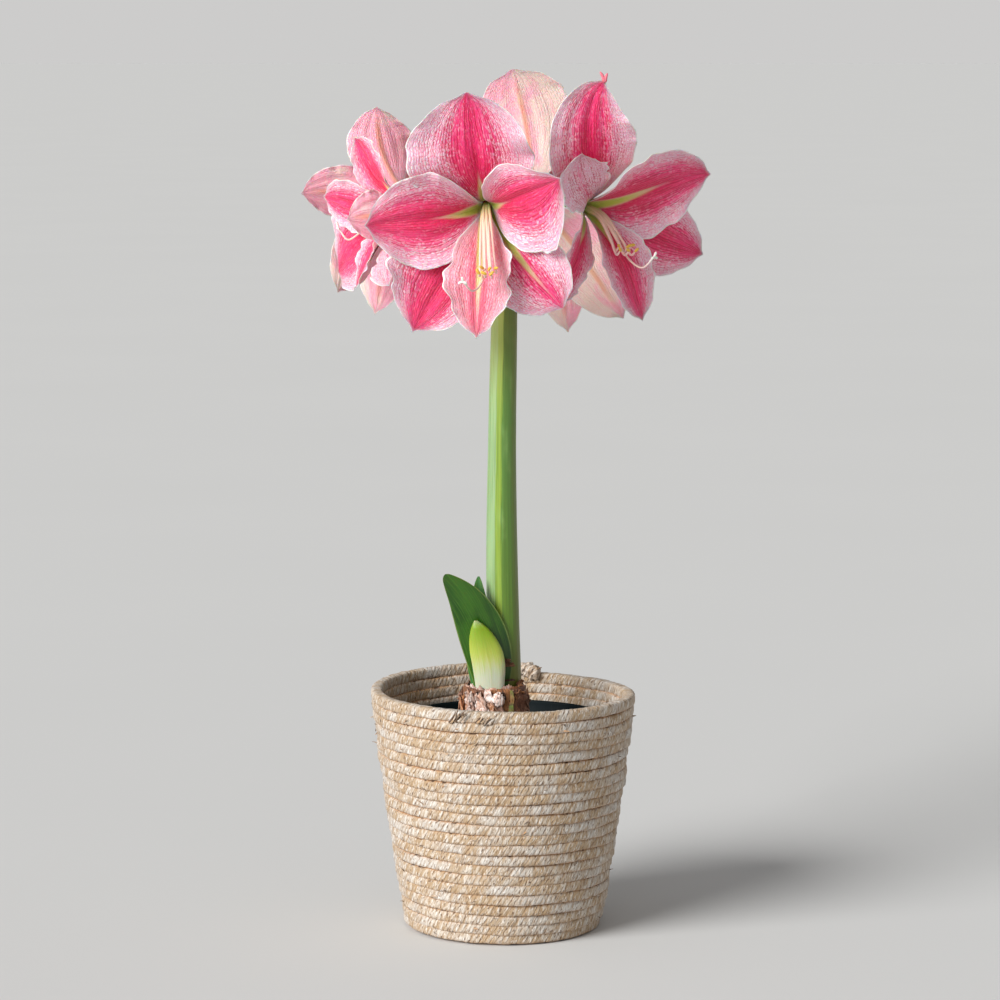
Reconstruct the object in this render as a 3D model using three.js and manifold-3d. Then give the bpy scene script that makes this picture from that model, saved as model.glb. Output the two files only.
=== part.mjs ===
// Amaryllis in a pot: one bulb in a grow pot, standing in a coiled rope basket, with one stalk that carries
// five open trumpet blooms. Millimetres, +Z up, origin at the centre of the basket's base, front towards -Y.
import * as THREE from "three";
import { mergeVertices } from "three/addons/utils/BufferGeometryUtils.js";
import Module from "manifold-3d";

// ---- driving dimensions ----
const BASKET_HEIGHT = 208.6; // floor to the highest point of the rim
const BASKET_BASE_RADIUS = 84.2;
const BASKET_FLARE = 0.142; // radius gained per millimetre of height
const BASKET_BELLY = 1.6; // extra radius half way up
const ROPE_DIAMETER = 8.6;
const ROPE_ROWS = 24;
const ROW_PITCH = 8.7;
const ROPE_END_ANGLE = 73; // degrees from +X, where the free end lies on the rim
const BASKET_SIDES = 28;

const GROW_POT_RIM_RADIUS = 94.5;
const GROW_POT_RIM_HEIGHT = 178;
const GROW_POT_BASE_RADIUS = 68;
const GROW_POT_WALL = 1.5;
const SOIL_HEIGHT = 148;

const BULB_CENTRE_X = -8;
const BULB_RADIUS = 46;
const BULB_BOTTOM = 92;
const NECK_RADIUS = 28;
const NECK_TOP = 212;
const NECK_WELL_DEPTH = 9;

const SCAPE_TOP = 576;
const BASE_WIDTH = 30; // of the flower stalk at the bulb
const TOP_WIDTH = 21.5; // of the flower stalk under the blooms

const PETAL_THICKNESS = 0.8;
const PETAL_ROWS = 8; // steps along a tepal
const PETAL_COLUMNS = 4; // steps across a tepal
const TUBE_RADIUS = 4.4; // where the tepals' midribs leave the flower tube
const TUBE_LENGTH = 14;
const GAP = 0.3;

const DEG = Math.PI / 180;
const clamp = (x, a, b) => Math.min(b, Math.max(a, x));
const smooth = (a, b, t) => {
  const x = clamp((t - a) / (b - a), 0, 1);
  return x * x * (3 - 2 * x);
};
// The quadratic through a at 0, b at one half and c at 1.
const mix3 = ([a, b, c], t) => a * (1 - t) * (1 - 2 * t) + b * 4 * t * (1 - t) + c * t * (2 * t - 1);

const wasm = await Module();
wasm.setup();

// ---- solids from rows of points ----
function geometryFrom(points, faces) {
  const flat = new Float32Array(points.length * 3);
  points.forEach((p, i) => p.toArray(flat, i * 3));
  const g = new THREE.BufferGeometry();
  g.setAttribute("position", new THREE.BufferAttribute(flat, 3));
  g.setIndex(faces.flat());
  return g;
}

// A closed body through rings of equal length, with a flat cap on each end.
function loft(rings) {
  const n = rings[0].length;
  const points = rings.flat();
  const faces = [];
  for (let i = 0; i < rings.length - 1; i++)
    for (let j = 0; j < n; j++) {
      const a = i * n + j, b = i * n + ((j + 1) % n), c = a + n, d = b + n;
      faces.push([a, b, d], [a, d, c]);
    }
  const last = (rings.length - 1) * n;
  for (let j = 1; j < n - 1; j++) faces.push([0, j + 1, j], [last, last + j, last + j + 1]);
  return geometryFrom(points, faces);
}

// A thin closed blade, the same thickness all over, whose two faces are split into triangles alike.
function blade(rows, columns, thickness, at) {
  const grid = [];
  for (let i = 0; i <= rows; i++) {
    grid.push([]);
    for (let j = 0; j <= columns; j++) grid[i].push(at(i / rows, (2 * j) / columns - 1));
  }
  const pick = (i, j) => grid[clamp(i, 0, rows)][clamp(j, 0, columns)];
  const points = [];
  for (const side of [1, -1])
    for (let i = 0; i <= rows; i++)
      for (let j = 0; j <= columns; j++) {
        const along = pick(i + 1, j).clone().sub(pick(i - 1, j));
        const across = pick(i, j + 1).clone().sub(pick(i, j - 1));
        const normal = along.cross(across).normalize();
        points.push(grid[i][j].clone().addScaledVector(normal, (side * thickness) / 2));
      }
  const faces = [];
  const w = columns + 1;
  const under = (rows + 1) * w;
  for (let i = 0; i < rows; i++)
    for (let j = 0; j < columns; j++) {
      const a = i * w + j, b = a + 1, c = a + w, d = c + 1;
      faces.push([a, c, d], [a, d, b], [under + a, under + d, under + c], [under + a, under + b, under + d]);
    }
  const edge = [];
  for (let j = 0; j < columns; j++) edge.push([j, j + 1]);
  for (let i = 0; i < rows; i++) edge.push([i * w + columns, (i + 1) * w + columns]);
  for (let j = columns; j > 0; j--) edge.push([rows * w + j, rows * w + j - 1]);
  for (let i = rows; i > 0; i--) edge.push([i * w, (i - 1) * w]);
  for (const [a, b] of edge) faces.push([a, b, under + b], [a, under + b, under + a]);
  return geometryFrom(points, faces);
}

// A tube along a curve whose radius changes: stations is a list of [t, radius].
function stem(curve, stations, sides, turn = 0) {
  const rings = [];
  let side = new THREE.Vector3();
  stations.forEach(([t, radius], i) => {
    const centre = curve.getPointAt(t);
    const heading = curve.getTangentAt(t);
    if (i === 0) side.crossVectors(heading, new THREE.Vector3(0.31, 0.93, 0.2)).normalize();
    side.addScaledVector(heading, -side.dot(heading)).normalize();
    const up = new THREE.Vector3().crossVectors(heading, side);
    const ring = [];
    for (let k = 0; k < sides; k++) {
      const a = (2 * Math.PI * k) / sides + turn;
      ring.push(
        centre.clone().addScaledVector(side, radius * Math.cos(a)).addScaledVector(up, radius * Math.sin(a)),
      );
    }
    rings.push(ring);
  });
  return loft(rings);
}

// A body of revolution about Z from [radius, height] pairs, which start and end on the axis.
function turned(profile, sides, warp) {
  const g = new THREE.LatheGeometry(profile.map(([r, z]) => new THREE.Vector2(r, z)), sides);
  g.rotateX(Math.PI / 2);
  if (warp) {
    const p = g.getAttribute("position");
    const v = new THREE.Vector3();
    for (let i = 0; i < p.count; i++) {
      v.fromBufferAttribute(p, i);
      warp(v);
      p.setXYZ(i, v.x, v.y, v.z);
    }
  }
  return g;
}

function solid(geometry) {
  const g = geometry.clone();
  g.deleteAttribute("normal");
  g.deleteAttribute("uv");
  const merged = mergeVertices(g, 1e-4);
  const made = new wasm.Manifold(
    new wasm.Mesh({
      numProp: 3,
      vertProperties: merged.getAttribute("position").array,
      triVerts: new Uint32Array(merged.index.array),
    }),
  );
  return made;
}

function fromSolid(made) {
  const mesh = made.getMesh();
  const g = new THREE.BufferGeometry();
  g.setAttribute("position", new THREE.BufferAttribute(mesh.vertProperties, 3));
  g.setIndex([...mesh.triVerts]);
  return g;
}

// Pieces fused into one body: a hollow that fusing seals is filled, and a loose scrap is dropped.
function join(pieces) {
  const bodies = pieces.map(solid).reduce((a, b) => a.add(b)).decompose();
  return fromSolid(bodies.reduce((a, b) => (b.volume() > a.volume() ? b : a)));
}

const amaryllis = new THREE.Group();
function mesh(parent, name, geometry, colour, roughness, flat = true) {
  geometry.computeVertexNormals();
  const m = new THREE.Mesh(
    geometry,
    new THREE.MeshStandardMaterial({ color: colour, roughness, metalness: 0, flatShading: flat, side: THREE.FrontSide }),
  );
  m.name = name;
  parent.add(m);
  return m;
}

// ---- basket: one rope coiled into rows, the rim falling by one row from the rope's end round to its start ----
const basketRadius = (z) => BASKET_BASE_RADIUS + BASKET_FLARE * z + BASKET_BELLY * Math.sin((Math.PI * z) / BASKET_HEIGHT);
function basketWarp(v) {
  const turn = ((Math.atan2(v.y, v.x) / DEG - ROPE_END_ANGLE + 720) % 360) / 360;
  const fall = turn < 0.95 ? turn : (0.95 * (1 - turn)) / 0.05;
  v.z -= ROW_PITCH * fall * smooth(110, BASKET_HEIGHT, v.z);
}
const rows = [];
for (let k = 0; k < ROPE_ROWS; k++) {
  const centre = ROPE_DIAMETER / 2 + (k * (BASKET_HEIGHT - ROPE_DIAMETER)) / (ROPE_ROWS - 1);
  if (k > 0) rows.push([basketRadius(centre - ROW_PITCH / 2) - 2.2, centre - ROW_PITCH / 2]);
  rows.push([basketRadius(centre), centre]);
}
const rimR = basketRadius(BASKET_HEIGHT) - ROPE_DIAMETER / 2;
const inner = (z) => basketRadius(z) - ROPE_DIAMETER;
const basketProfile = [
  [0, 0],
  [BASKET_BASE_RADIUS - 3.4, 0],
  ...rows,
  [rimR + 2.6, BASKET_HEIGHT - 0.9],
  [rimR - 2.6, BASKET_HEIGHT - 0.9],
  [inner(204.3), 204.3],
  [inner(199.9) + 2, 199.9],
  [inner(195.6), 195.6],
  [inner(191.3) + 2, 191.3],
  [inner(186.9), 186.9],
  [inner(140), 140],
  [inner(70), 70],
  [inner(20), 20],
  [inner(14) - 3, 9],
  [0, 9],
];
mesh(amaryllis, "basket", turned(basketProfile, BASKET_SIDES, basketWarp), 0xd9c7a2, 0.9);

// ---- grow pot, soil and bulb ----
const potBottom = 9 + GAP;
const potRadius = (z) =>
  GROW_POT_BASE_RADIUS + ((GROW_POT_RIM_RADIUS - 3 - GROW_POT_BASE_RADIUS) * (z - potBottom)) / (168 - potBottom);
mesh(
  amaryllis,
  "grow_pot",
  turned(
    [
      [0, potBottom],
      [GROW_POT_BASE_RADIUS - 2, potBottom],
      [potRadius(potBottom + 2), potBottom + 2],
      [potRadius(168), 168],
      [GROW_POT_RIM_RADIUS, 168],
      [GROW_POT_RIM_RADIUS, GROW_POT_RIM_HEIGHT],
      [GROW_POT_RIM_RADIUS - 1.6, GROW_POT_RIM_HEIGHT],
      [potRadius(168) - GROW_POT_WALL, 168],
      [potRadius(potBottom + 2) - GROW_POT_WALL, potBottom + GROW_POT_WALL],
      [0, potBottom + GROW_POT_WALL],
    ],
    32,
  ),
  0x2c3b33,
  0.55,
);

const bulbOutline = [
  [14, BULB_BOTTOM],
  [30, BULB_BOTTOM + 5],
  [41, BULB_BOTTOM + 16],
  [BULB_RADIUS, BULB_BOTTOM + 34],
  [44.5, BULB_BOTTOM + 50],
  [40, BULB_BOTTOM + 64],
  [34.5, BULB_BOTTOM + 76],
  [30.5, BULB_BOTTOM + 88],
  [NECK_RADIUS + 0.6, BULB_BOTTOM + 99],
];
const creases = (v) => {
  const a = Math.atan2(v.y, v.x);
  const deep = smooth(BULB_BOTTOM, BULB_BOTTOM + 20, v.z);
  const k = 1 + deep * (0.012 * Math.sin(5 * a + 1) + 0.008 * Math.sin(9 * a + v.z / 40));
  v.x *= k;
  v.y *= k;
};
const bulbSolid = turned(
  [
    [0, BULB_BOTTOM],
    ...bulbOutline,
    [NECK_RADIUS, NECK_TOP],
    [NECK_RADIUS - 1.8, NECK_TOP],
    [NECK_RADIUS - 2.2, NECK_TOP - NECK_WELL_DEPTH],
    [0, NECK_TOP - NECK_WELL_DEPTH],
  ],
  24,
  creases,
);
mesh(amaryllis, "bulb", bulbSolid, 0x8a5a34, 0.8).position.x = BULB_CENTRE_X;

const soilBlock = turned(
  [
    [0, potBottom + GROW_POT_WALL + GAP],
    [potRadius(potBottom + 2) - GROW_POT_WALL - 0.6, potBottom + GROW_POT_WALL + GAP],
    [potRadius(SOIL_HEIGHT - 3) - GROW_POT_WALL - 0.5, SOIL_HEIGHT - 3],
    [58, SOIL_HEIGHT],
    [0, SOIL_HEIGHT],
  ],
  24,
);
const bulbSeat = turned(
  [
    [0, BULB_BOTTOM - 0.5],
    ...bulbOutline.slice(0, 6).map(([r, z]) => [r * 1.022 + 0.6, z === BULB_BOTTOM ? z - 0.5 : z]),
    [41, SOIL_HEIGHT + 20],
    [0, SOIL_HEIGHT + 20],
  ],
  24,
);
bulbSeat.translate(BULB_CENTRE_X, 0, 0);
mesh(amaryllis, "soil", fromSolid(solid(soilBlock).subtract(solid(bulbSeat))), 0x3a2a20, 1);

// ---- flower stalk: oval, tapering upwards, with a swollen top that carries the flower stems ----
const wellFloor = NECK_TOP - NECK_WELL_DEPTH + GAP;
const scapeAxis = new THREE.CatmullRomCurve3([
  new THREE.Vector3(1, 6, wellFloor),
  new THREE.Vector3(-0.6, 4, 270),
  new THREE.Vector3(-1.5, 1, 350),
  new THREE.Vector3(-0.9, 0, 440),
  new THREE.Vector3(0.6, 0, 520),
  new THREE.Vector3(1.2, 0, SCAPE_TOP),
]);
const scapeRings = [
  [wellFloor, BASE_WIDTH / 2 - 0.6],
  [222, BASE_WIDTH / 2 - 0.6],
  [260, 14.0],
  [330, 13.2],
  [410, 11.9],
  [490, 11.3],
  [545, TOP_WIDTH / 2 - 0.1],
  [564, TOP_WIDTH / 2 + 0.2],
  [571, 12.2],
  [SCAPE_TOP - 1.5, 11.4],
  [SCAPE_TOP, 8.5],
].map(([z, rx]) => {
  // the stalk is so nearly upright that a level cut stands for its section
  let low = 0, high = 1;
  for (let i = 0; i < 30; i++) {
    const m = (low + high) / 2;
    if (scapeAxis.getPoint(m).z < z) low = m;
    else high = m;
  }
  const c = scapeAxis.getPoint(low);
  const ring = [];
  for (let k = 0; k < 16; k++) {
    const a = (2 * Math.PI * k) / 16;
    const rib = k % 2 ? 1 : 0.975;
    ring.push(new THREE.Vector3(c.x + rib * rx * Math.cos(a), c.y + rib * rx * 0.9 * Math.sin(a), z));
  }
  return ring;
});
mesh(amaryllis, "scape", loft(scapeRings), 0x8fa85c, 0.55);

// ---- leaves and the new shoot, standing in the neck of the bulb ----
// line: the midrib; half: half width along it; hollow: how far the edges bend back; lean turns the blade.
function leaf({ line, half, hollow, lean, rows, thickness }) {
  const rib = new THREE.CatmullRomCurve3(line.map((p) => new THREE.Vector3(...p)));
  return blade(rows, 4, thickness, (t, s) => {
    const c = rib.getPoint(t);
    const up = rib.getTangent(t);
    const across = new THREE.Vector3(Math.cos(lean * DEG), Math.sin(lean * DEG), 0);
    across.addScaledVector(up, -across.dot(up)).normalize();
    const out = new THREE.Vector3().crossVectors(across, up);
    const w = half(t);
    return c.addScaledVector(across, w * s).addScaledVector(out, -hollow * w * s * s);
  });
}
mesh(
  amaryllis,
  "leaf_front",
  leaf({
    line: [[-10, -11.2, wellFloor + 1.1], [-11.5, -12, 228], [-19, -14.5, 256], [-32, -18, 283], [-50, -21, 306]],
    half: (t) => Math.max(0.9, (13.5 + 7.5 * Math.sin(Math.PI * clamp(t / 0.95, 0, 1))) * Math.sqrt(Math.max(0, 1 - t ** 4))),
    hollow: 0.18,
    lean: 0,
    rows: 10,
    thickness: 1.4,
  }),
  0x4b6b33,
  0.5,
);
mesh(
  amaryllis,
  "leaf_back",
  leaf({
    line: [[-19.5, -3.2, wellFloor + 0.4], [-19.5, -4.2, 230], [-20.5, -6, 262], [-21.5, -9, 303]],
    half: (t) => Math.max(0.9, (5.5 + 9 * Math.sin(Math.PI * clamp(0.1 + 0.85 * t, 0, 1))) * Math.sqrt(Math.max(0, 1 - t ** 4))),
    hollow: 0.1,
    lean: -24,
    rows: 8,
    thickness: 1.4,
  }),
  0x55733a,
  0.5,
);
const shootRings = [
  [wellFloor, -11.6, 11.6, 3.7],
  [213, -12, 12.3, 4],
  [228, -12.9, 13.7, 4.2],
  [241, -15.2, 13.6, 4.1],
  [252, -18, 11, 3.6],
  [261, -20.8, 6.6, 2.7],
  [267, -23.4, 1.6, 1.2],
].map(([z, x, rx, ry]) => {
  const ring = [];
  for (let k = 0; k < 12; k++) {
    const a = (2 * Math.PI * k) / 12;
    ring.push(new THREE.Vector3(x + rx * Math.cos(a), -18 - (z - wellFloor) * 0.05 + ry * Math.sin(a), z));
  }
  return ring;
});
mesh(amaryllis, "new_shoot", loft(shootRings), 0xc9c98a, 0.6);

// ---- two withered bracts under the flower stems ----
// heading: degrees from the front, positive to the right
for (const [name, heading, reach, droop] of [["spathe_right", 100, 34, 20], ["spathe_left", -115, 30, 16]]) {
  const h = heading * DEG;
  const out = new THREE.Vector3(Math.sin(h), -Math.cos(h), 0);
  const across = new THREE.Vector3(Math.cos(h), Math.sin(h), 0);
  mesh(
    amaryllis,
    name,
    blade(6, 2, 0.8, (t, s) => {
      const w = Math.max(0.6, 7 * Math.sqrt(Math.max(0, 1 - t ** 3)) * (1 - 0.35 * t));
      return new THREE.Vector3(1.2, 0, 567)
        .addScaledVector(out, 13.4 + reach * t)
        .addScaledVector(across, w * s)
        .add(new THREE.Vector3(0, 0, 5 * Math.sin(Math.PI * t * 0.8) - droop * t * t + 2.2 * Math.abs(s) * (w / 7)));
    }),
    0xb08a63,
    0.9,
  );
}

// ---- blooms ----
// Each bloom faces `heading` degrees from the front, positive to the right, and dips below the horizon.
// A tepal leaves the tube at `clock`, degrees anticlockwise seen from the bloom's own front with 0 at its right.
// Its midrib opens from the bloom's axis by `open` degrees at the base, the middle and the tip.
// layer is 1 for the three inner tepals and -1 for the three outer ones.
// The stamens reach forwards, drop, shift to the right and spread; the style hooks to that side at its end.
const BLOOMS = [
  {
    name: "front", at: [-14, -66, 620], heading: -8, dip: 16, root: -8,
    reach: 74, drop: 34, shift: 9, spread: 0.6, hook: -16,
    tepals: [
      { clock: 93, length: 121, width: 107, open: [26, 72, 86], cup: [0.9, 0.35, 0.2], peak: 0.54, tip: 0.82, skew: 0.06, flare: 1.3, layer: -1 },
      { clock: 181, length: 106, width: 85, open: [20, 70, 76], peak: 0.52, skew: -0.04, layer: 1 },
      { clock: 238, length: 126, width: 82, open: [26, 77, 95], tip: 0.85, skew: -0.14, layer: -1 },
      { clock: 268, length: 114, width: 56, open: [20, 56, 80], layer: 1 },
      { clock: 312, length: 110, width: 72, open: [26, 68, 90], tip: 0.5, peak: 0.6, layer: -1 },
      { clock: 32, length: 99, width: 85, open: [20, 57, 72], skew: -0.22, tip: 0.85, layer: 1 },
    ],
  },
  {
    name: "right", at: [68, -28, 617], heading: 50, dip: 14, root: 60,
    reach: 52, drop: 24, shift: 0, spread: 1, hook: 8,
    tepals: [
      { clock: 124, sway: -52, length: 126, width: 92, open: [38, 92, 72], cup: [0.9, 0.5, 0.6], twist: -12, flare: 1.1, peak: 0.48, tip: 0.62, layer: -1 },
      { clock: 143, sway: -24, length: 87, width: 50, open: [26, 85, 44], cup: [0.9, 0.6, 0.5], layer: 1 },
      { clock: 226, sway: 10, length: 96, width: 42, open: [26, 72, 52], layer: -1 },
      { clock: 286, length: 106, width: 58, open: [18, 55, 69], layer: 1 },
      { clock: 344, length: 120, width: 66, open: [30, 66, 70], layer: -1 },
      { clock: 42, sway: -33, length: 110, width: 82, open: [18, 60, 60], peak: 0.42, flare: 0.8, layer: 1 },
    ],
  },
  {
    name: "left", at: [-80, 4, 614], heading: -80, dip: 8, root: -80,
    reach: 38, drop: 9, shift: 0, spread: 1, hook: -11,
    tepals: [
      { clock: 111, length: 77, width: 54, open: [25, 69, 65], twist: 30, layer: -1 },
      { clock: 166, length: 94, width: 48, open: [18, 51, 66], layer: 1 },
      { clock: 212, length: 114, width: 80, open: [24, 55, 81], layer: -1 },
      { clock: 262, length: 80, width: 48, open: [18, 50, 66], layer: 1 },
      { clock: 324, length: 98, width: 54, open: [30, 64, 81], layer: -1 },
      { clock: 20, length: 76, width: 52, open: [24, 60, 76], layer: 1 },
    ],
  },
  {
    name: "back_left", at: [-86, 86, 622], heading: -148, dip: 4, root: -150,
    reach: 46, drop: 16, shift: 0, spread: 1, hook: -11,
    tepals: [
      { clock: 76, sway: 7, length: 84, width: 60, open: [26, 86, 107], layer: -1 },
      { clock: 150, length: 90, width: 60, open: [18, 52, 76], layer: 1 },
      { clock: 212, length: 96, width: 60, open: [24, 66, 88], layer: -1 },
      { clock: 268, sway: 14, length: 117, width: 54, open: [18, 68, 80], layer: 1 },
      { clock: 305, sway: -4, length: 104, width: 50, open: [26, 78, 90], layer: -1 },
      { clock: 10, sway: -17, length: 90, width: 48, open: [18, 67, 77], layer: 1 },
    ],
  },
  {
    name: "back_right", at: [24, 68, 622], heading: 164, dip: 4, root: 136,
    reach: 58, drop: 16, shift: 0, spread: 1, hook: -11,
    tepals: [
      { clock: 79, length: 120, width: 86, open: [28, 90, 112], peak: 0.62, tip: 0.5, layer: -1 },
      { clock: 134, length: 92, width: 52, open: [18, 54, 76], layer: 1 },
      { clock: 233, length: 138, width: 67, open: [26, 84, 99], layer: -1 },
      { clock: 260, length: 134, width: 54, open: [18, 71, 83], layer: 1 },
      { clock: 316, length: 105, width: 60, open: [24, 70, 90], layer: -1 },
      { clock: 24, length: 96, width: 54, open: [18, 54, 76], layer: 1 },
    ],
  },
];
const TEPAL = {
  length: 118, width: 64, open: [20, 55, 80], sway: 0, twist: 0, cup: [0.9, 0.45, 0.1],
  wave: 0.06, neck: 3.6, flare: 1.6, peak: 0.56, tip: 0.72, skew: 0, layer: 0,
};

// The middle surface of a tepal in the bloom's own frame: X to its right, Y up, Z the way that it faces.
function tepalSurface(given) {
  const d = { ...TEPAL, ...given };
  const N = 60;
  const heading = (t) => {
    const open = mix3(d.open, t) * DEG;
    const round = (d.clock + d.sway * t * t) * DEG;
    return new THREE.Vector3(Math.sin(open) * Math.cos(round), Math.sin(open) * Math.sin(round), Math.cos(open));
  };
  const a = d.clock * DEG;
  const rib = [new THREE.Vector3(TUBE_RADIUS * Math.cos(a), TUBE_RADIUS * Math.sin(a), -1)];
  for (let i = 0; i < N; i++)
    rib.push(
      rib[i].clone()
        .addScaledVector(heading(i / N), d.length / N / 2)
        .addScaledVector(heading((i + 1) / N), d.length / N / 2),
    );
  return (t, s) => {
    const i = Math.min(N - 1, Math.floor(t * N));
    const m = rib[i].clone().lerp(rib[i + 1], t * N - i);
    const T = heading(t);
    const round = (d.clock + d.sway * t * t) * DEG;
    const S0 = new THREE.Vector3(-Math.sin(round), Math.cos(round), 0);
    S0.addScaledVector(T, -S0.dot(T)).normalize();
    const N0 = new THREE.Vector3().crossVectors(T, S0);
    const tw = d.twist * t * DEG;
    const S = S0.clone().multiplyScalar(Math.cos(tw)).addScaledVector(N0, Math.sin(tw));
    const Nn = S0.clone().multiplyScalar(-Math.sin(tw)).addScaledVector(N0, Math.cos(tw));
    const n = d.neck / (d.width / 2);
    const rise = n + (1 - n) * Math.sin((Math.PI / 2) * clamp(t / d.peak, 0, 1)) ** d.flare;
    const fall = Math.cos((Math.PI / 2) * clamp((t - d.peak) / (1 - d.peak), 0, 1)) ** d.tip;
    const w = Math.max(0.8, (d.width / 2) * (t < d.peak ? rise : fall));
    const round_r = Math.hypot(m.x, m.y);
    const tube = Math.min((w * Math.cos(mix3(d.open, t) * DEG)) / round_r, 1.25);
    const b = smooth(0.12, 0.5, t);
    const k = Math.max(0.001, tube * (1 - b) + mix3(d.cup, t) * b);
    const side = 1 + d.skew * Math.sign(s);
    const middle = Math.sin(Math.PI * clamp(t, 0, 1)) ** 0.7 * smooth(0.15, 0.6, t);
    let lift = (w * (1 - Math.cos(k * s)) * side) / k;
    lift += d.wave * (d.width / 2) * (middle || 0) * Math.abs(s) ** 2.5 * Math.sin(4.4 * Math.PI * t + 1.9 * Math.sign(s));
    lift += d.layer * (0.5 + 1.3 * smooth(0, 0.3, t));
    return m.addScaledVector(S, (w * Math.sin(k * s) * side) / k).addScaledVector(Nn, lift);
  };
}

for (const bloom of BLOOMS) {
  const h = bloom.heading * DEG, dip = bloom.dip * DEG;
  const face = new THREE.Vector3(Math.sin(h) * Math.cos(dip), -Math.cos(h) * Math.cos(dip), -Math.sin(dip));
  const right = new THREE.Vector3(Math.cos(h), Math.sin(h), 0);
  const up = new THREE.Vector3().crossVectors(face, right);
  const group = new THREE.Group();
  group.position.set(...bloom.at);
  group.quaternion.setFromRotationMatrix(new THREE.Matrix4().makeBasis(right, up, face));
  amaryllis.add(group);

  // six tepals on the flower tube, the outer ones first
  const tube = turned([[0, -TUBE_LENGTH], [4, -TUBE_LENGTH], [4.8, -6], [6.4, 0.8], [6, 1.6], [0, 1.6]], 10);
  const ordered = [...bloom.tepals].sort((a, b) => a.layer - b.layer);
  const blades = ordered.map((t) => blade(PETAL_ROWS, PETAL_COLUMNS, PETAL_THICKNESS, tepalSurface(t)));
  mesh(group, "tepals_" + bloom.name, join([tube, ...blades]), 0xe0607c, 0.55);

  // stamens and style: they leave the throat together, hang a little and turn up at the end
  const parts = [turned([[0, 1.6 + GAP], [3.6, 1.6 + GAP], [3.6, 4.4], [0, 4.4]], 6)];
  for (let i = 0; i < 6; i++) {
    const x = -2.2 + 0.88 * i, y = i % 2 ? 1.6 : -0.2; // roots in two rows, above the style's
    const aside = bloom.shift + bloom.spread * [-9, -5.5, -2, 2, 5.5, 9][i];
    const far = bloom.reach + [0, -5, 3, -2, 4, -4][i];
    const line = new THREE.CatmullRomCurve3([
      new THREE.Vector3(x, y, 3),
      new THREE.Vector3(x + 0.35 * aside, y - 0.12 * bloom.drop, far * 0.38),
      new THREE.Vector3(x + 0.75 * aside, y - 0.72 * bloom.drop, far * 0.75),
      new THREE.Vector3(x + aside, y - bloom.drop - 2, far * 0.94),
      new THREE.Vector3(x + aside + (i < 3 ? -1 : 1) * bloom.spread, y - bloom.drop + 3, far),
      new THREE.Vector3(x + aside + (i < 3 ? -4 : 4) * bloom.spread, y - bloom.drop + 6, far + 0.5),
    ]);
    // the anther is the thick end, turned outwards
    parts.push(stem(line, [[0, 0.8], [0.36, 0.8], [0.72, 0.75], [0.89, 0.7], [0.92, 1.4], [0.98, 1.4], [1, 0.6]], 3));
  }
  const lead = bloom.reach + 22;
  const style = new THREE.CatmullRomCurve3([
    new THREE.Vector3(0, -2.3, 3),
    new THREE.Vector3(bloom.shift * 0.3, -2.3 - 0.2 * bloom.drop, lead * 0.38),
    new THREE.Vector3(bloom.shift + 0.27 * bloom.hook, -1.05 * bloom.drop - 4, lead * 0.72),
    new THREE.Vector3(bloom.shift + 0.64 * bloom.hook, -bloom.drop - 9, lead * 0.9),
    new THREE.Vector3(bloom.shift + bloom.hook, -bloom.drop + 2, lead),
  ]);
  parts.push(stem(style, [[0, 0.9], [0.35, 0.9], [0.65, 0.85], [0.85, 0.8], [1, 0.8]], 3));
  const end = style.getPoint(1);
  for (let i = 0; i < 3; i++) {
    const a = (90 + 120 * i) * DEG;
    const lobe = new THREE.OctahedronGeometry(1, 0);
    lobe.scale(2.6, 1.2, 1);
    lobe.rotateZ(a);
    lobe.translate(end.x + 1.8 * Math.cos(a), end.y + 1.8 * Math.sin(a), end.z);
    parts.push(lobe);
  }
  mesh(group, "stamens_" + bloom.name, join(parts), 0xf2e6c8, 0.5);

  // flower stem with the ovary behind the tube
  const r = bloom.root * DEG;
  const foot = new THREE.Vector3(1.2 + 6.4 * Math.sin(r), -6.4 * Math.cos(r), SCAPE_TOP + GAP);
  const end2 = new THREE.Vector3(...bloom.at).addScaledVector(face, -TUBE_LENGTH - GAP);
  const reach = foot.distanceTo(end2);
  const pedicel = new THREE.CubicBezierCurve3(
    foot,
    foot.clone().add(new THREE.Vector3(0, 0, 0.38 * reach)),
    end2.clone().addScaledVector(face, -0.5 * reach),
    end2,
  );
  const total = pedicel.getLength();
  const ovary = (mm) => 1 - mm / total;
  mesh(
    amaryllis,
    "pedicel_" + bloom.name,
    stem(
      pedicel,
      [[0, 3.1], [0.12, 3.2], [0.28, 3.1], [0.44, 3.0], [0.6, 3.0], [ovary(19), 3.3], [ovary(15), 4.6], [ovary(9), 5.2], [ovary(3.5), 4.6], [1, 3.9]],
      8,
    ),
    0x86a052,
    0.55,
  );
}

export default amaryllis;
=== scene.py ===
"""Amaryllis in a pot: the looks of the bulb, its five blooms, the grow pot and the coiled rope basket.

Sizes are in millimetres and are turned to metres as each mesh is made. Angles are in degrees.
"""
import math

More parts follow.
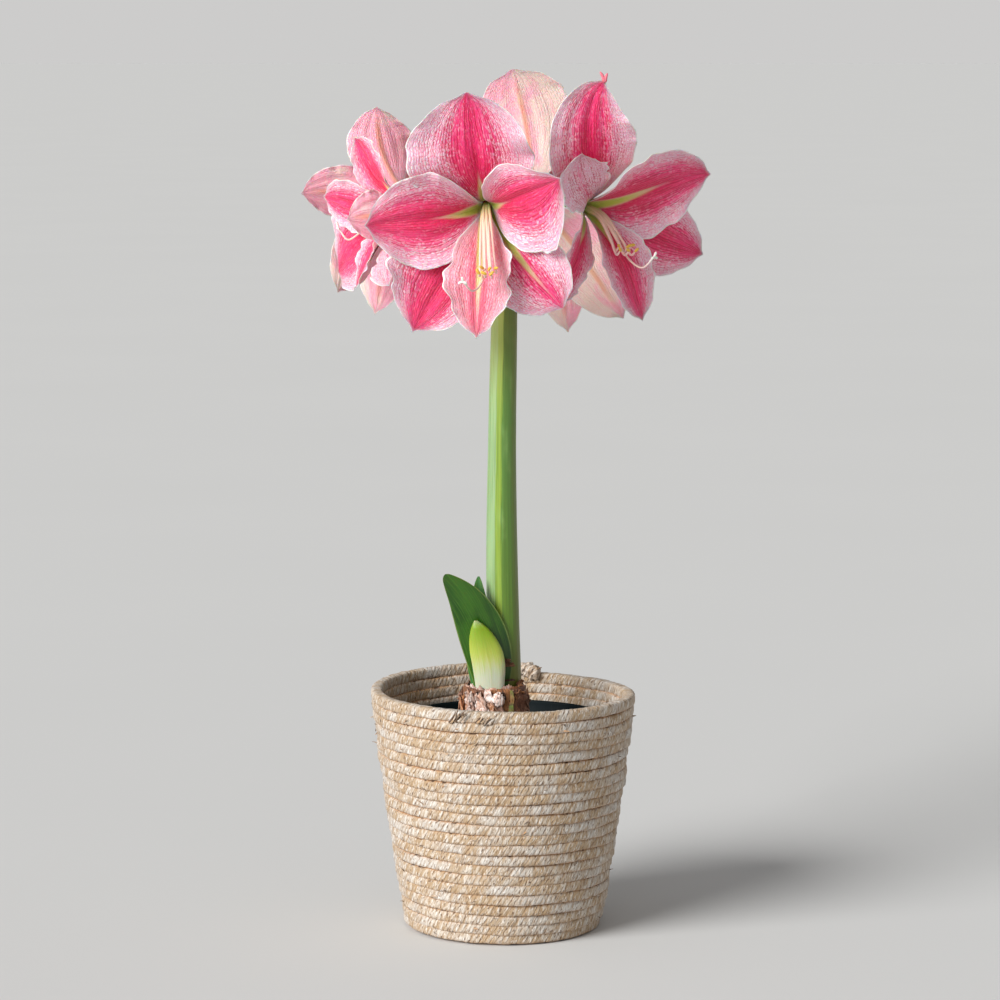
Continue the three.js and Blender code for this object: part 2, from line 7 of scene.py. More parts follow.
import bpy
import numpy as np
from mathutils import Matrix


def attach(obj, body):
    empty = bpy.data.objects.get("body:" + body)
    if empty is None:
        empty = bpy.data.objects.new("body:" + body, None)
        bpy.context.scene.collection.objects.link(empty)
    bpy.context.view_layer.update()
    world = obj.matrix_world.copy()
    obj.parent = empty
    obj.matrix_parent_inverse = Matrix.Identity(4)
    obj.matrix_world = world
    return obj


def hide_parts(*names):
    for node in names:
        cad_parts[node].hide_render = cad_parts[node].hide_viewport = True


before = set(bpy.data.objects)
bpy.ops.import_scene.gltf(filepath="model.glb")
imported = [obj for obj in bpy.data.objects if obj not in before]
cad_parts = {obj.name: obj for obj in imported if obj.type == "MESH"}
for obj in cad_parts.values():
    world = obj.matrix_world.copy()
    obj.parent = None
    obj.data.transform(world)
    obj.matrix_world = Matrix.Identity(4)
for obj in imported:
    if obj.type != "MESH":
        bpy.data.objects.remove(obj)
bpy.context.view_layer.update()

MM = 0.001
TURN = 2 * math.pi

# ---------------------------------------------------------------------------------------------------------
# Basket. One rope of twisted strands of bleached maize husk is wound flat for the base, then row on
# row up the wall, each row stitched to the last. The rim falls by one row from where the rope ends.
# ---------------------------------------------------------------------------------------------------------
ROPE_RADIUS = 4.75
ROPE_CENTRE = 4.3  # below the outer face of the wall, and above the floor
BASKET_HEIGHT = 208.6
BASKET_BASE_RADIUS = 84.2
BASKET_FLARE = 0.142  # radius gained per millimetre of height
BASKET_BELLY = 1.6  # extra radius half way up
ROW_PITCH = 8.84
WALL_TURNS = (BASKET_HEIGHT - 2 * ROPE_CENTRE) / ROW_PITCH
ROPE_END_ANGLE = 73.0
CORNER_TURNS = 0.6  # turns over which the flat base bends up into the wall
LAY_LENGTH = 21.0  # of one turn of a strand round the rope
STRANDS = 5.0
TUCK_TURNS = 0.06  # turns over which the free end dips inside the rim
TUCK_INWARDS, TUCK_DOWN = 6.5, 4.5
SQUARENESS = 5.0  # how far the rows press each other flat: 2 is a round rope
HUSK_RELIEF = 1.45
SPLICE_TURN = 11.0  # where two lengths of rope meet
BASE_EYE = 3.2  # radius at which the coil of the base begins
PATH_STEP = 3.0
RING_STEP = 1.6
MEAN_ROPE_RADIUS = 95.0  # of a row of the wall, for counting steps
ROPE_SIDES = 18


def wall_radius(z):
    """The outer radius of the basket at a height."""
    return BASKET_BASE_RADIUS + BASKET_FLARE * z + BASKET_BELLY * np.sin(math.pi * z / BASKET_HEIGHT)


def xyz(x, y, z):
    """Points or directions from three arrays whose shapes fit each other."""
    return np.stack(np.broadcast_arrays(x, y, z), axis=-1)


def polar(radius, angle, z):
    """The same from a distance to the Z axis, an angle in radians and a height."""
    return xyz(radius * np.cos(angle), radius * np.sin(angle), z)


def rope_route(turns):
    """The middle of the rope after that many turns above the base, with the small waver of handwork."""
    rise = np.clip(turns + CORNER_TURNS, 0, 2 * CORNER_TURNS) ** 2 / (4 * CORNER_TURNS)
    rise = rise + np.clip(turns - CORNER_TURNS, 0, None)
    lack = np.clip(CORNER_TURNS - turns, 0, 2 * CORNER_TURNS) ** 2 / (4 * CORNER_TURNS)
    lack = lack + np.clip(-CORNER_TURNS - turns, 0, None)
    z = ROPE_CENTRE + ROW_PITCH * rise
    radius = wall_radius(z) - ROPE_CENTRE - ROW_PITCH * lack
    waver = np.clip(turns, 0, 1) * np.clip(WALL_TURNS - turns, 0, 1)
    radius = radius + waver * (
        0.5 * np.sin(turns * 5.1) + 0.4 * np.sin(turns * 17.3 + 2) + 0.3 * np.sin(turns * 61))
    z = z + waver * (0.4 * np.sin(turns * 7.7 + 1) + 0.35 * np.sin(turns * 23.9) + 0.2 * np.sin(turns * 57))
    tucked = np.clip((turns - WALL_TURNS) / TUCK_TURNS + 1, 0, 1) ** 2
    angle = np.radians(ROPE_END_ANGLE + 360 * (WALL_TURNS - turns))
    return polar(radius - TUCK_INWARDS * tucked, angle, z - TUCK_DOWN * tucked)


class Flow:
    """What flows out of a node. Arithmetic on it adds the nodes that work the result out."""

    def __init__(self, socket):
        self.socket, self.tree, self.is_vector = socket, socket.id_data, socket.type == "VECTOR"

    def __add__(self, other):
        return calc("ADD", self, other)

    def __sub__(self, other):
        return calc("SUBTRACT", self, other)

    def __rsub__(self, other):
        return calc("SUBTRACT", other, self)

    def __mul__(self, other):
        if not self.is_vector:
            return calc("MULTIPLY", self, other)
        if isinstance(other, tuple) or getattr(other, "is_vector", False):
            return vector_calc("MULTIPLY", self, other)
        return flow(self.tree, "ShaderNodeVectorMath", {0: self, "Scale": other}, operation="SCALE")

    def __truediv__(self, other):
        return calc("DIVIDE", self, other)

    def __rtruediv__(self, other):
        return calc("DIVIDE", other, self)

    def __abs__(self):
        return calc("ABSOLUTE", self)

    def split(self):
        """The three numbers of a vector."""
        return [Flow(s) for s in add_node(self.tree, "ShaderNodeSeparateXYZ", {0: self}).outputs]


def feed(node, inputs):
    """Gives a node's sockets, by name or number, a value or what flows out of another node."""
    for key, value in dict(inputs).items():
        if isinstance(value, Flow):
            node.id_data.links.new(value.socket, node.inputs[key])
        else:
            node.inputs[key].default_value = value


def add_node(tree, kind, inputs=(), **settings):
    made = tree.nodes.new(kind)
    for key, value in settings.items():
        setattr(made, key, value)
    feed(made, inputs)
    return made


def flow(tree, kind, inputs=(), out=0, **settings):
    """What flows out of a new node, by the name or number of its output."""
    return Flow(add_node(tree, kind, inputs, **settings).outputs[out])


def tree_of(values):
    return next(value.tree for value in values if isinstance(value, Flow))


def calc(operation, *values):
    return flow(tree_of(values), "ShaderNodeMath", enumerate(values), operation=operation)


def vector_calc(operation, *values):
    return flow(tree_of(values), "ShaderNodeVectorMath", enumerate(values), operation=operation)


def joined(*parts):
    return flow(tree_of(parts), "ShaderNodeCombineXYZ", enumerate(parts))


def between(value, low, high, last=1.0, first=0.0):
    """first on low's side of the range, last on high's, and a smooth change from one to the other."""
    names = ("Value", "From Min", "From Max", "To Min", "To Max")
    return flow(value.tree, "ShaderNodeMapRange", zip(names, (value, low, high, first, last)),
                interpolation_type="SMOOTHSTEP")


def noise(place, detail=2.0, roughness=0.5, scale=1.0, out=0):
    return flow(place.tree, "ShaderNodeTexNoise",
                {"Vector": place, "Scale": scale, "Detail": detail, "Roughness": roughness}, out)


def dye(red, green, blue):
    """A colour given as it shows on a screen, 0 to 255, as the linear colour that a shader wants."""
    parts = (((c / 255 + 0.055) / 1.055) ** 2.4 if c > 10 else c / 255 / 12.92 for c in (red, green, blue))
    return (*parts, 1.0)


def mixed(share, *colours):
    """The first colour where share is 0 and the second where it is 1."""
    first, second = (colour if isinstance(colour, Flow) else dye(*colour) for colour in colours)
    return flow(share.tree, "ShaderNodeMix", {0: share, 6: first, 7: second}, 2, data_type="RGBA")


def painted(colour, *layers):
    """A colour with layers over it, each given as the share of it that shows and its own colour."""
    for share, layer in layers:
        colour = mixed(share, colour, layer)
    return colour


def new_group(name, inputs, outputs, kind="ShaderNodeTree"):
    """A node group, what flows into it by name, and its end node. A number is a float's default."""
    tree = bpy.data.node_groups.new(name, kind)
    for end, sockets in (("INPUT", inputs), ("OUTPUT", outputs)):
        for socket, sort in sockets.items():
            holds = "Float" if isinstance(sort, float) else sort
            made = tree.interface.new_socket(socket, in_out=end, socket_type="NodeSocket" + holds)
            if holds != sort:
                made.default_value = sort
    return tree, flows(tree.nodes.new("NodeGroupInput")), tree.nodes.new("NodeGroupOutput")


def flows(node):
    return {socket.name: Flow(socket) for socket in node.outputs}


def grouped(group, inputs):
    """What flows out of a group that is placed in the tree of its inputs, by name."""
    return flows(add_node(tree_of(inputs.values()), "ShaderNodeGroup", inputs, node_tree=group))


def new_finish(name, **constants):
    """A material with one Principled shader, whose constants are set on its own sockets."""
    finish = bpy.data.materials.new(name)
    finish.use_nodes = True
    shader = finish.node_tree.nodes["Principled BSDF"]
    feed(shader, {key.replace("_", " "): constants[key] for key in constants})
    return finish


def mark(finish, name, out="Fac"):
    """A number that the mesh carries at each point, or three of them where out is Vector."""
    return flow(finish.node_tree, "ShaderNodeAttribute", out=out, attribute_name=name)


def wear(finish, colour, roughness=None, height=None, depth=0.1):
    """Joins a pattern's colour, roughness and relief, in millimetres, to the finish's shader."""
    shader = finish.node_tree.nodes["Principled BSDF"]
    feed(shader, {"Base Color": colour})
    if roughness is not None:
        feed(shader, {"Roughness": roughness})
    if height is not None:
        feed(shader, {"Normal": flow(finish.node_tree, "ShaderNodeBump", {
            "Strength": 1.0, "Distance": depth * MM, "Height": height})})


# dry fibres that run along the third coordinate of Place, for the husk rope, papery scales and bracts
dry_fibres, given, put = new_group("dry_fibres", {"Place": "Vector", "Fibre Width": 0.5, "Fibre Length": 8.0},
                                   {"Fibres": "Float", "Patches": "Float", "Specks": "Float"})
thin = 1.0 / given["Fibre Width"]
feed(put, {"Fibres": noise(given["Place"] * joined(thin, thin, 1.0 / given["Fibre Length"]), 3.0, 0.6),
           "Patches": noise(given["Place"] * (0.06, 0.06, 0.022), 3.0, 0.55),
           "Specks": noise(given["Place"] * (0.5, 0.5, 0.5), 1.0, 0.4)})

husk_rope = new_finish("husk_rope", Roughness=0.75, Sheen_Weight=0.1, Sheen_Roughness=0.5)
strand = mark(husk_rope, "strand", "Vector")
groove = mark(husk_rope, "groove")
husk = grouped(dry_fibres, {"Place": strand, "Fibre Width": 1.7, "Fibre Length": 6.0})
across, around, _ = strand.split()
lay = calc("COSINE", calc("ARCTAN2", around, across) * STRANDS)
patches = noise(strand * (0.012, 0.012, 0.014), 3.0, 0.6)
twists = noise(strand * (0.19, 0.19, 0.24), 2.0, 0.55)
flakes = noise(strand * (0.34, 0.34, 0.6), 2.0, 0.6)
pits = noise(strand * (0.11, 0.11, 0.14), 2.0, 0.6)
valley = between(lay + twists * 2.4, 0.9, 0.1)
husk_colour = painted(
    (196, 190, 182),
    (between(patches, 0.38, 0.56), (178, 154, 124)),
    # bleached husk where the twists stand highest, partly a painted highlight on them
    (between(twists, 0.48, 0.64, 0.5), (224, 220, 212)),
    (between(twists, 0.46, 0.32, 0.45), (172, 142, 106)),
    (between(flakes, 0.44, 0.34, 0.6), (150, 118, 84)),
    # bleached flakes where they stand highest, partly a painted highlight on them
    (between(flakes, 0.56, 0.68, 0.6), (246, 244, 240)),
    # painted shade in the valleys between the strands
    (valley * 0.3, (166, 130, 92)),
    (groove * 0.7, (204, 152, 100)),
    # painted shade: dark spots along the grooves for the gaps between the rows
    (between(groove, 0.0, 0.6) * between(pits, 0.56, 0.64, 0.9), (70, 46, 30)),
    (between(husk["Specks"], 0.61, 0.67, 0.75), (96, 66, 42)),
    # dark husk on some loose ends, and painted shadow on the dark strips in the slits and in the knob's
    # hollows
    (mark(husk_rope, "scorched"), (66, 42, 28)),
)
wear(husk_rope, husk_colour, between(husk["Fibres"], 0.3, 0.7, 0.85, 0.6),
     twists * 1.3 + flakes * 0.8 - valley * 0.4, 0.8)


def geometry(tree, kind, inputs=(), out=0, **settings):
    """What flows out of a geometry node, which is named without its prefix."""
    return flow(tree, "GeometryNode" + kind, inputs, out, **settings)


def captured(shape, value):
    """The shape with a number kept on it, and that number."""
    keeper = add_node(shape.tree, "GeometryNodeCaptureAttribute")
    keeper.capture_items.new("FLOAT", "Kept")
    feed(keeper, {0: shape, 1: value})
    return Flow(keeper.outputs[0]), Flow(keeper.outputs[1])


def finished(shape, finish):
    real = geometry(shape.tree, "RealizeInstances", {0: shape})
    return geometry(shape.tree, "SetMaterial", {"Geometry": real, "Material": finish})


twisted_rope, given, put = new_group(
    "twisted_rope",
    {"Route": "Geometry", "Ring Step": "Float", "Rope Radius": "Float", "Squareness": "Float",
     "Lay Length": "Float", "Husk Relief": "Float", "Laid Flat": "Float", "Free From": "Float",
     "Sides": "Int", "Finish": "Material"},
    {"Rope": "Geometry"}, "GeometryNodeTree")
tree = twisted_rope
route = geometry(tree, "ResampleCurve", {"Curve": given["Route"], "Length": given["Ring Step"]},
                 mode="LENGTH")
route, run = captured(route, geometry(tree, "SplineParameter", out="Length"))
# the section is a circle pressed towards a square, so that the rows meet in narrow grooves
section = geometry(tree, "CurvePrimitiveCircle",
                   {"Resolution": given["Sides"], "Radius": given["Rope Radius"]}, mode="RADIUS")
turned_by = geometry(tree, "SplineParameter", out="Factor") * TURN
cosine, sine = (calc("POWER", abs(calc(wave, turned_by)), given["Squareness"]) for wave in ("COSINE", "SINE"))
reach = calc("POWER", cosine + sine, -1.0 / given["Squareness"])
section = geometry(tree, "SetPosition", {
    "Geometry": section, "Position": geometry(tree, "InputPosition") * reach})
section, turned_by = captured(section, turned_by)
skin = geometry(tree, "CurveToMesh", {
    "Curve": geometry(tree, "SetCurveNormal", {"Curve": route}, mode="Z_UP"), "Profile Curve": section,
    "Fill Caps": True})
# the strands wind round the rope: their place is counted round it from a line that winds with them
wound = turned_by + run / given["Lay Length"] * TURN
radius_mm = given["Rope Radius"] / MM
strand_place = joined(calc("COSINE", wound) * radius_mm, calc("SINE", wound) * radius_mm, run / MM)
# a groove is where the rope's skin faces the row above or below it, or beside it in the base
facing = geometry(tree, "InputNormal")
upward = facing.split()[2]
open_above = calc("GREATER_THAN", run, given["Free From"]) * calc("GREATER_THAN", upward, 0.0)
towards_row = flow(tree, "ShaderNodeMix", {
    0: given["Laid Flat"], 2: abs(upward) * (1.0 - open_above), 3: 1.0 - abs(upward)})
in_groove = flow(tree, "ShaderNodeMapRange", {"Value": towards_row, "From Min": 0.5, "From Max": 0.95})
for name, value, sort in (("strand", strand_place, "FLOAT_VECTOR"), ("groove", in_groove, "FLOAT")):
    skin = geometry(tree, "StoreNamedAttribute", {"Geometry": skin, "Name": name, "Value": value},
                    data_type=sort)
rough_husk = noise(strand_place * (0.16, 0.16, 0.1), 3.0, 0.6) - 0.5
slubs = noise(strand_place * (0.02, 0.02, 0.03), 2.0, 0.5) - 0.5
skin = geometry(tree, "SetPosition", {
    "Geometry": skin, "Offset": facing * ((rough_husk + slubs) * given["Husk Relief"])})
feed(put, {"Rope": finished(geometry(tree, "SetShadeSmooth", {"Geometry": skin}), given["Finish"])})


def show(name, data):
    thing = bpy.data.objects.new(name, data)
    bpy.context.scene.collection.objects.link(thing)
    return thing


def grown(name, start, tree, sizes):
    """What the tree makes of the start object, as a plain mesh object; the start object goes."""
    work = start.modifiers.new("work", "NODES")
    work.node_group = tree
    names = {s.name: s.identifier for s in tree.interface.items_tree if getattr(s, "in_out", "") == "INPUT"}
    for key, value in sizes.items():
        work[names[key]] = value
    graph = bpy.context.evaluated_depsgraph_get()
    mesh = bpy.data.meshes.new_from_object(start.evaluated_get(graph), preserve_all_data_layers=True,
                                           depsgraph=graph)
    start.modifiers.remove(work)
    bpy.data.objects.remove(start)
    mesh.name = name
    return show(name, mesh)


def hand_over(piece, slot, *nodes):
    """The piece rides with the part and stands for those CAD nodes; the slot is not used."""
    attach(piece, "root")
    if nodes:
        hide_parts(*nodes)


def rope_length(name, first_turn, last_turn, laid_flat):
    """One length of the rope, between two places counted in turns above the base."""
    steps = int(TURN * MEAN_ROPE_RADIUS * (last_turn - first_turn) / PATH_STEP) + 1
    turns = np.linspace(first_turn, last_turn, steps + 1)
    points = rope_route(turns) * MM
    line = bpy.data.curves.new(name, "CURVE")
    line.dimensions = "3D"
    spline = line.splines.new("POLY")
    spline.points.add(steps)
    spline.points.foreach_set("co", np.insert(points, 3, 1, axis=1).ravel())
    runs = np.linalg.norm(np.diff(points, axis=0), axis=1)
    return grown(name, show(name, line), twisted_rope, {
        "Ring Step": RING_STEP * MM, "Rope Radius": ROPE_RADIUS * MM, "Squareness": SQUARENESS,
        "Lay Length": LAY_LENGTH * MM, "Husk Relief": HUSK_RELIEF * MM, "Laid Flat": laid_flat,
        "Free From": float(runs[turns[1:] <= WALL_TURNS - 1].sum()), "Sides": ROPE_SIDES,
        "Finish": husk_rope})


base_turns = (wall_radius(ROPE_CENTRE) - ROPE_CENTRE - BASE_EYE) / ROW_PITCH
for name, first_turn, last_turn, laid_flat in (("basket_base", -base_turns, -CORNER_TURNS, 1.0),
                                               ("basket_wall_lower", -CORNER_TURNS, SPLICE_TURN, 0.0),
                                               ("basket_wall_upper", SPLICE_TURN, WALL_TURNS, 0.0)):
    hand_over(rope_length(name, first_turn, last_turn, laid_flat), "rope_fibre", "basket")

# ---------------------------------------------------------------------------------------------------------
# Grow pot. A thin dark green plastic nursery pot, blow moulded in one piece with a wide stiff rim, which
# stands inside the basket and keeps the wet soil off the rope.
# ---------------------------------------------------------------------------------------------------------
POT_SIDES = 96
POT_FLOOR = 9.3
POT_RIM_RADIUS = 94.5
POT_RIM_UNDERSIDE = 168.0
POT_RIM_TOP = 178.0
POT_BASE_RADIUS = 68.0
POT_WALL = 1.5


def unit(vectors):
    return vectors / np.linalg.norm(vectors, axis=-1, keepdims=True)


def angles(sides):
    return TURN * np.arange(sides) / sides


def skin_faces(rings, sides):
    """The faces of a closed body through rings of points, with a flat cap on each end."""
    faces = []
    for i in range(rings - 1):
        for j in range(sides):
            a, b = i * sides + j, i * sides + (j + 1) % sides
            faces.append((a, b, b + sides, a + sides))
    return faces + [tuple(range(sides))[::-1], tuple(range((rings - 1) * sides, rings * sides))]


def turned(profile, sides):
    """A body of revolution about Z from (radius, height) pairs off the axis: its points and faces."""
    profile = np.array(profile, float)
    points = polar(profile[:, :1], angles(sides), profile[:, 1:])
    return points.reshape(-1, 3), skin_faces(len(profile), sides)


def spread(values, count):
    """A mark for each of count points, from one for all of them or one for each: a number or three."""
    values = np.asarray(values, float)
    three = values.shape[-1:] == (3,)
    return np.broadcast_to(values.reshape((-1, 3) if three else -1), (count, 3)[:1 + three])


class Bodies:
    """Closed bodies gathered for one piece: points in millimetres, faces, and marks that a finish reads."""

    def __init__(self):
        self.points, self.faces, self.marks, self.count = [], [], {}, 0

    def add(self, points, faces, **marks):
        """A mark is one number or three, for the whole body or for each of its points."""
        points = np.reshape(points, (-1, 3))
        self.points.append(points)
        self.faces += [tuple(i + self.count for i in face) for face in faces]
        self.count += len(points)
        for name, values in marks.items():
            self.marks.setdefault(name, []).append(spread(values, len(points)))
        return self

    def piece(self, name, finish, sharp_angle=180.0):
        mesh = bpy.data.meshes.new(name)
        mesh.from_pydata((np.concatenate(self.points) * MM).tolist(), [], self.faces)
        mesh.polygons.foreach_set("use_smooth", [True] * len(mesh.polygons))
        if sharp_angle < 180:
            mesh.set_sharp_from_angle(angle=math.radians(sharp_angle))
        for key, parts in self.marks.items():
            values = np.concatenate(parts)
            kind, field = ("FLOAT_VECTOR", "vector") if values.ndim == 2 else ("FLOAT", "value")
            made = mesh.attributes.new(key, kind, "POINT")
            made.data.foreach_set(field, values.ravel().astype(np.float32))
        mesh.materials.append(finish)
        return show(name, mesh)


def object_place(finish):
    """A place on the object, in millimetres."""
    return flow(finish.node_tree, "ShaderNodeTexCoord", out="Object") * (1000.0, 1000.0, 1000.0)


def pot_radius(z):
    """The outer radius of the pot's wall below the rim."""
    rise = (z - POT_FLOOR) / (POT_RIM_UNDERSIDE - POT_FLOOR)
    return POT_BASE_RADIUS + (POT_RIM_RADIUS - 3 - POT_BASE_RADIUS) * rise


pot_profile = [
    (POT_BASE_RADIUS - 3, POT_FLOOR), (POT_BASE_RADIUS - 0.8, POT_FLOOR + 0.6),
    *[(pot_radius(z), z) for z in np.linspace(POT_FLOOR + 2.5, POT_RIM_UNDERSIDE - 0.6, 12)],
    (POT_RIM_RADIUS - 0.8, POT_RIM_UNDERSIDE), (POT_RIM_RADIUS, POT_RIM_UNDERSIDE + 0.8),
    (POT_RIM_RADIUS, POT_RIM_TOP - 0.7), (POT_RIM_RADIUS - 0.8, POT_RIM_TOP),
    (POT_RIM_RADIUS - 1.8, POT_RIM_TOP - 0.5), (POT_RIM_RADIUS - 2.2, POT_RIM_TOP - 2),
    (POT_RIM_RADIUS - 2.6, POT_RIM_UNDERSIDE + 2),
    *[(pot_radius(z) - POT_WALL, z) for z in np.linspace(POT_RIM_UNDERSIDE - 1, POT_FLOOR + 4, 12)],
    (POT_BASE_RADIUS - 3, POT_FLOOR + POT_WALL),
]
pot_plastic = new_finish("pot_plastic", Roughness=0.6, Specular_IOR_Level=0.1)
place = object_place(pot_plastic)
clouding = noise(place * (0.03, 0.03, 0.012), 3.0)
scuffs = noise(place * (0.9, 0.9, 0.06), 2.0)
pot_colour = painted((6, 17, 20), (clouding, (10, 26, 30)), (between(scuffs, 0.62, 0.8, 0.2), (60, 70, 68)))
wear(pot_plastic, pot_colour, between(clouding, 0.3, 0.7, 0.7, 0.5), scuffs, 0.05)
pot = Bodies().add(*turned(pot_profile, POT_SIDES))
hand_over(pot.piece("grow_pot_wall", pot_plastic, 50), "pot_plastic", "grow_pot")

# ---------------------------------------------------------------------------------------------------------
# Potting soil. Dark peat with bark crumbs and a few white grains, filled to three centimetres below the rim
# of the pot and drawn up a little round the shoulder of the bulb.
# ---------------------------------------------------------------------------------------------------------
SOIL_HEIGHT = 148.0
BULB_CENTRE = np.array((-8.0, 0.0, 0.0))
BULB_RADIUS = 46.0
CRUMB_DENSITY = 52000.0  # to the square metre
SMALLEST_CRUMB, LARGEST_CRUMB = 0.5, 1.9
CRUMB_CHIPS = 1.6  # how far a crumb is broken out of round


def rough(points, size, depth, seed):
    """A smooth random number for each point, from waves of about that size in random directions."""
    draw = np.random.default_rng(seed)
    total = np.zeros(len(points))
    for _ in range(7):
        wave = unit(draw.normal(size=3)) * TURN / (size * draw.uniform(0.7, 1.5))
        total += np.sin(points @ wave + draw.uniform(0, TURN))
    return depth * total / 7 ** 0.5


soil_crumb = new_finish("soil_crumb", Roughness=0.95, Specular_IOR_Level=0.2)
place = object_place(soil_crumb)
crumbs = noise(place, 4.0, 0.65, scale=0.9)
peat = painted((34, 24, 17), (between(crumbs, 0.35, 0.68), (84, 62, 44)),
               (between(noise(place, 3.0, scale=0.12), 0.4, 0.62, 0.6), (28, 20, 15)),
               (between(noise(place, 0.0, scale=0.42), 0.76, 0.8), (196, 188, 172)))
wear(soil_crumb, peat, None, crumbs, 1.2)
soil_profile = [
    (pot_radius(POT_FLOOR + 3) - POT_WALL - 0.8, POT_FLOOR + POT_WALL + 0.3),
    *[(pot_radius(z) - POT_WALL - 0.6, z) for z in np.linspace(30, SOIL_HEIGHT - 4, 6)],
    *[(r, SOIL_HEIGHT - 1.5 * (r / 86) ** 6) for r in np.linspace(85.5, 1, 40)],
]
points, faces = turned(soil_profile, 120)
top = points[:, 2] > SOIL_HEIGHT - 3
from_bulb = np.hypot(points[:, 0] - BULB_CENTRE[0], points[:, 1])
points[top, 2] += (rough(points, 16, 1.0, 3) + rough(points, 6, 0.5, 4)
                   + 3.0 * np.exp(-np.clip(from_bulb - BULB_RADIUS, 0, None) / 9) - 1.0)[top]
hand_over(Bodies().add(points, faces).piece("soil_bed", soil_crumb, 60), "potting_soil", "soil")

crumb_scatter, given, put = new_group(
    "crumb_scatter",
    {"Bed": "Geometry", "Density": "Float", "Smallest": "Float", "Largest": "Float", "Seed": "Int",
     "Finish": "Material"},
    {"Crumbs": "Geometry"}, "GeometryNodeTree")
tree = crumb_scatter
spots = geometry(tree, "DistributePointsOnFaces",
                 {"Mesh": given["Bed"], "Density": given["Density"], "Seed": given["Seed"]})
spin = flow(tree, "FunctionNodeRandomValue", {"Max": (6.3, 6.3, 6.3), "Seed": given["Seed"]},
            data_type="FLOAT_VECTOR")
stretch = flow(tree, "FunctionNodeRandomValue", {"Min": (0.6, 0.5, 0.35), "Max": (1.7, 1.0, 0.8), "Seed": 9},
               data_type="FLOAT_VECTOR")
size = flow(tree, "FunctionNodeRandomValue",
            {2: given["Smallest"], 3: given["Largest"], "Seed": given["Seed"]}, 1, data_type="FLOAT")
strewn = geometry(tree, "InstanceOnPoints", {
    "Points": spots, "Instance": geometry(tree, "MeshIcoSphere", {"Radius": 1.0, "Subdivisions": 1}),
    "Rotation": spin, "Scale": stretch * size})
real = geometry(tree, "RealizeInstances", {0: strewn})
chipped = vector_calc("SUBTRACT", flow(tree, "ShaderNodeTexNoise", {"Scale": 700.0}, 1), (0.5, 0.5, 0.5))
broken = geometry(tree, "SetPosition", {"Geometry": real, "Offset": chipped * (CRUMB_CHIPS * MM)})
feed(put, {"Crumbs": finished(broken, given["Finish"])})

points, faces = turned([(48, SOIL_HEIGHT + 0.3), (84, SOIL_HEIGHT - 0.5)], 90)
bed = Bodies().add(points, faces[:-2]).piece("bed", soil_crumb)
hand_over(grown("soil_crumbs", bed, crumb_scatter, {
    "Density": CRUMB_DENSITY, "Smallest": SMALLEST_CRUMB * MM, "Largest": LARGEST_CRUMB * MM, "Seed": 5,
    "Finish": soil_crumb}), "potting_soil", "soil")

# ---------------------------------------------------------------------------------------------------------
# Bulb. A large amaryllis bulb, two thirds out of sight in the soil, whose neck stands above it. It is
# wrapped in dry brown papery scales that tear, curl and flake away round the neck.
# ---------------------------------------------------------------------------------------------------------
BULB_BOTTOM = 92.0
NECK_RADIUS = 26.6
MOUTH_RADIUS = 23.6
NECK_TOP = 212.0
WELL_FLOOR = 203.3
# radius and height above the bottom
BULB_OUTLINE = [(14, 0), (30, 5), (41, 16), (46, 34), (44.5, 50), (40, 64), (34.5, 76), (30.5, 88),
                (27.4, 99), (26.6, 114)]


def flowing_line(points, count):
    """count points on a smooth line through the given ones."""
    p = np.array(points, float)
    p = np.vstack([2 * p[0] - p[1], p, 2 * p[-1] - p[-2]])
    gap = np.sqrt(np.linalg.norm(np.diff(p, axis=0), axis=1))
    line = []
    for t in np.linspace(0, len(points) - 1, count):
        i = min(int(t), len(points) - 2)
        f = t - i
        a, b, c, d = p[i:i + 4]
        g, h, k = gap[i:i + 3]
        leave = ((b - a) / g - (c - a) / (g + h) + (c - b) / h) * h
        arrive = ((c - b) / h - (d - b) / (h + k) + (d - c) / k) * h
        line.append(b * (2 * f ** 3 - 3 * f ** 2 + 1) + leave * (f ** 3 - 2 * f ** 2 + f)
                    + c * (3 * f ** 2 - 2 * f ** 3) + arrive * (f ** 3 - f ** 2))
    return np.array(line)


def creased(points, size, depth, seed):
    """As rough, but folded into sharp creases, as in crumpled paper."""
    return depth * (1.2 - 2 * np.abs(rough(points, size, 1.0, seed)))


def ease(low, high, t):
    x = np.clip((t - low) / (high - low), 0, 1)
    return x * x * (3 - 2 * x)


def sheet_faces(rows, columns):
    """The faces of a thin closed sheet of (rows + 1) x (columns + 1) points a side: its two sides and rim."""
    w = columns + 1
    back = (rows + 1) * w
    faces = []
    for i in range(rows):
        for j in range(columns):
            a, b, c, d = i * w + j, i * w + j + 1, (i + 1) * w + j + 1, (i + 1) * w + j
            faces += [(a, d, c, b), (back + a, back + b, back + c, back + d)]
    rim = [*range(columns), *range(columns, back - 1, w),
           *range(back - 1, back - w, -1), *range(back - w, -1, -w)]
    return faces + [(a, b, back + b, back + a) for a, b in zip(rim, rim[1:])]


def add_sheet(bodies, grid, thickness, **marks):
    """Adds a thin closed sheet about a grid of points. A list is a mark for its face and one for its back."""
    normal = np.cross(np.gradient(grid, axis=0), np.gradient(grid, axis=1))
    normal /= np.linalg.norm(normal, axis=-1, keepdims=True) + 1e-9
    half = np.broadcast_to(thickness, grid.shape[:2])[..., None] / 2
    for name, values in marks.items():
        sides = values if isinstance(values, list) else [values, values]
        marks[name] = np.concatenate([spread(side, half.size) for side in sides])
    faces = sheet_faces(grid.shape[0] - 1, grid.shape[1] - 1)
    bodies.add(np.stack([grid + half * normal, grid - half * normal]), faces, **marks)


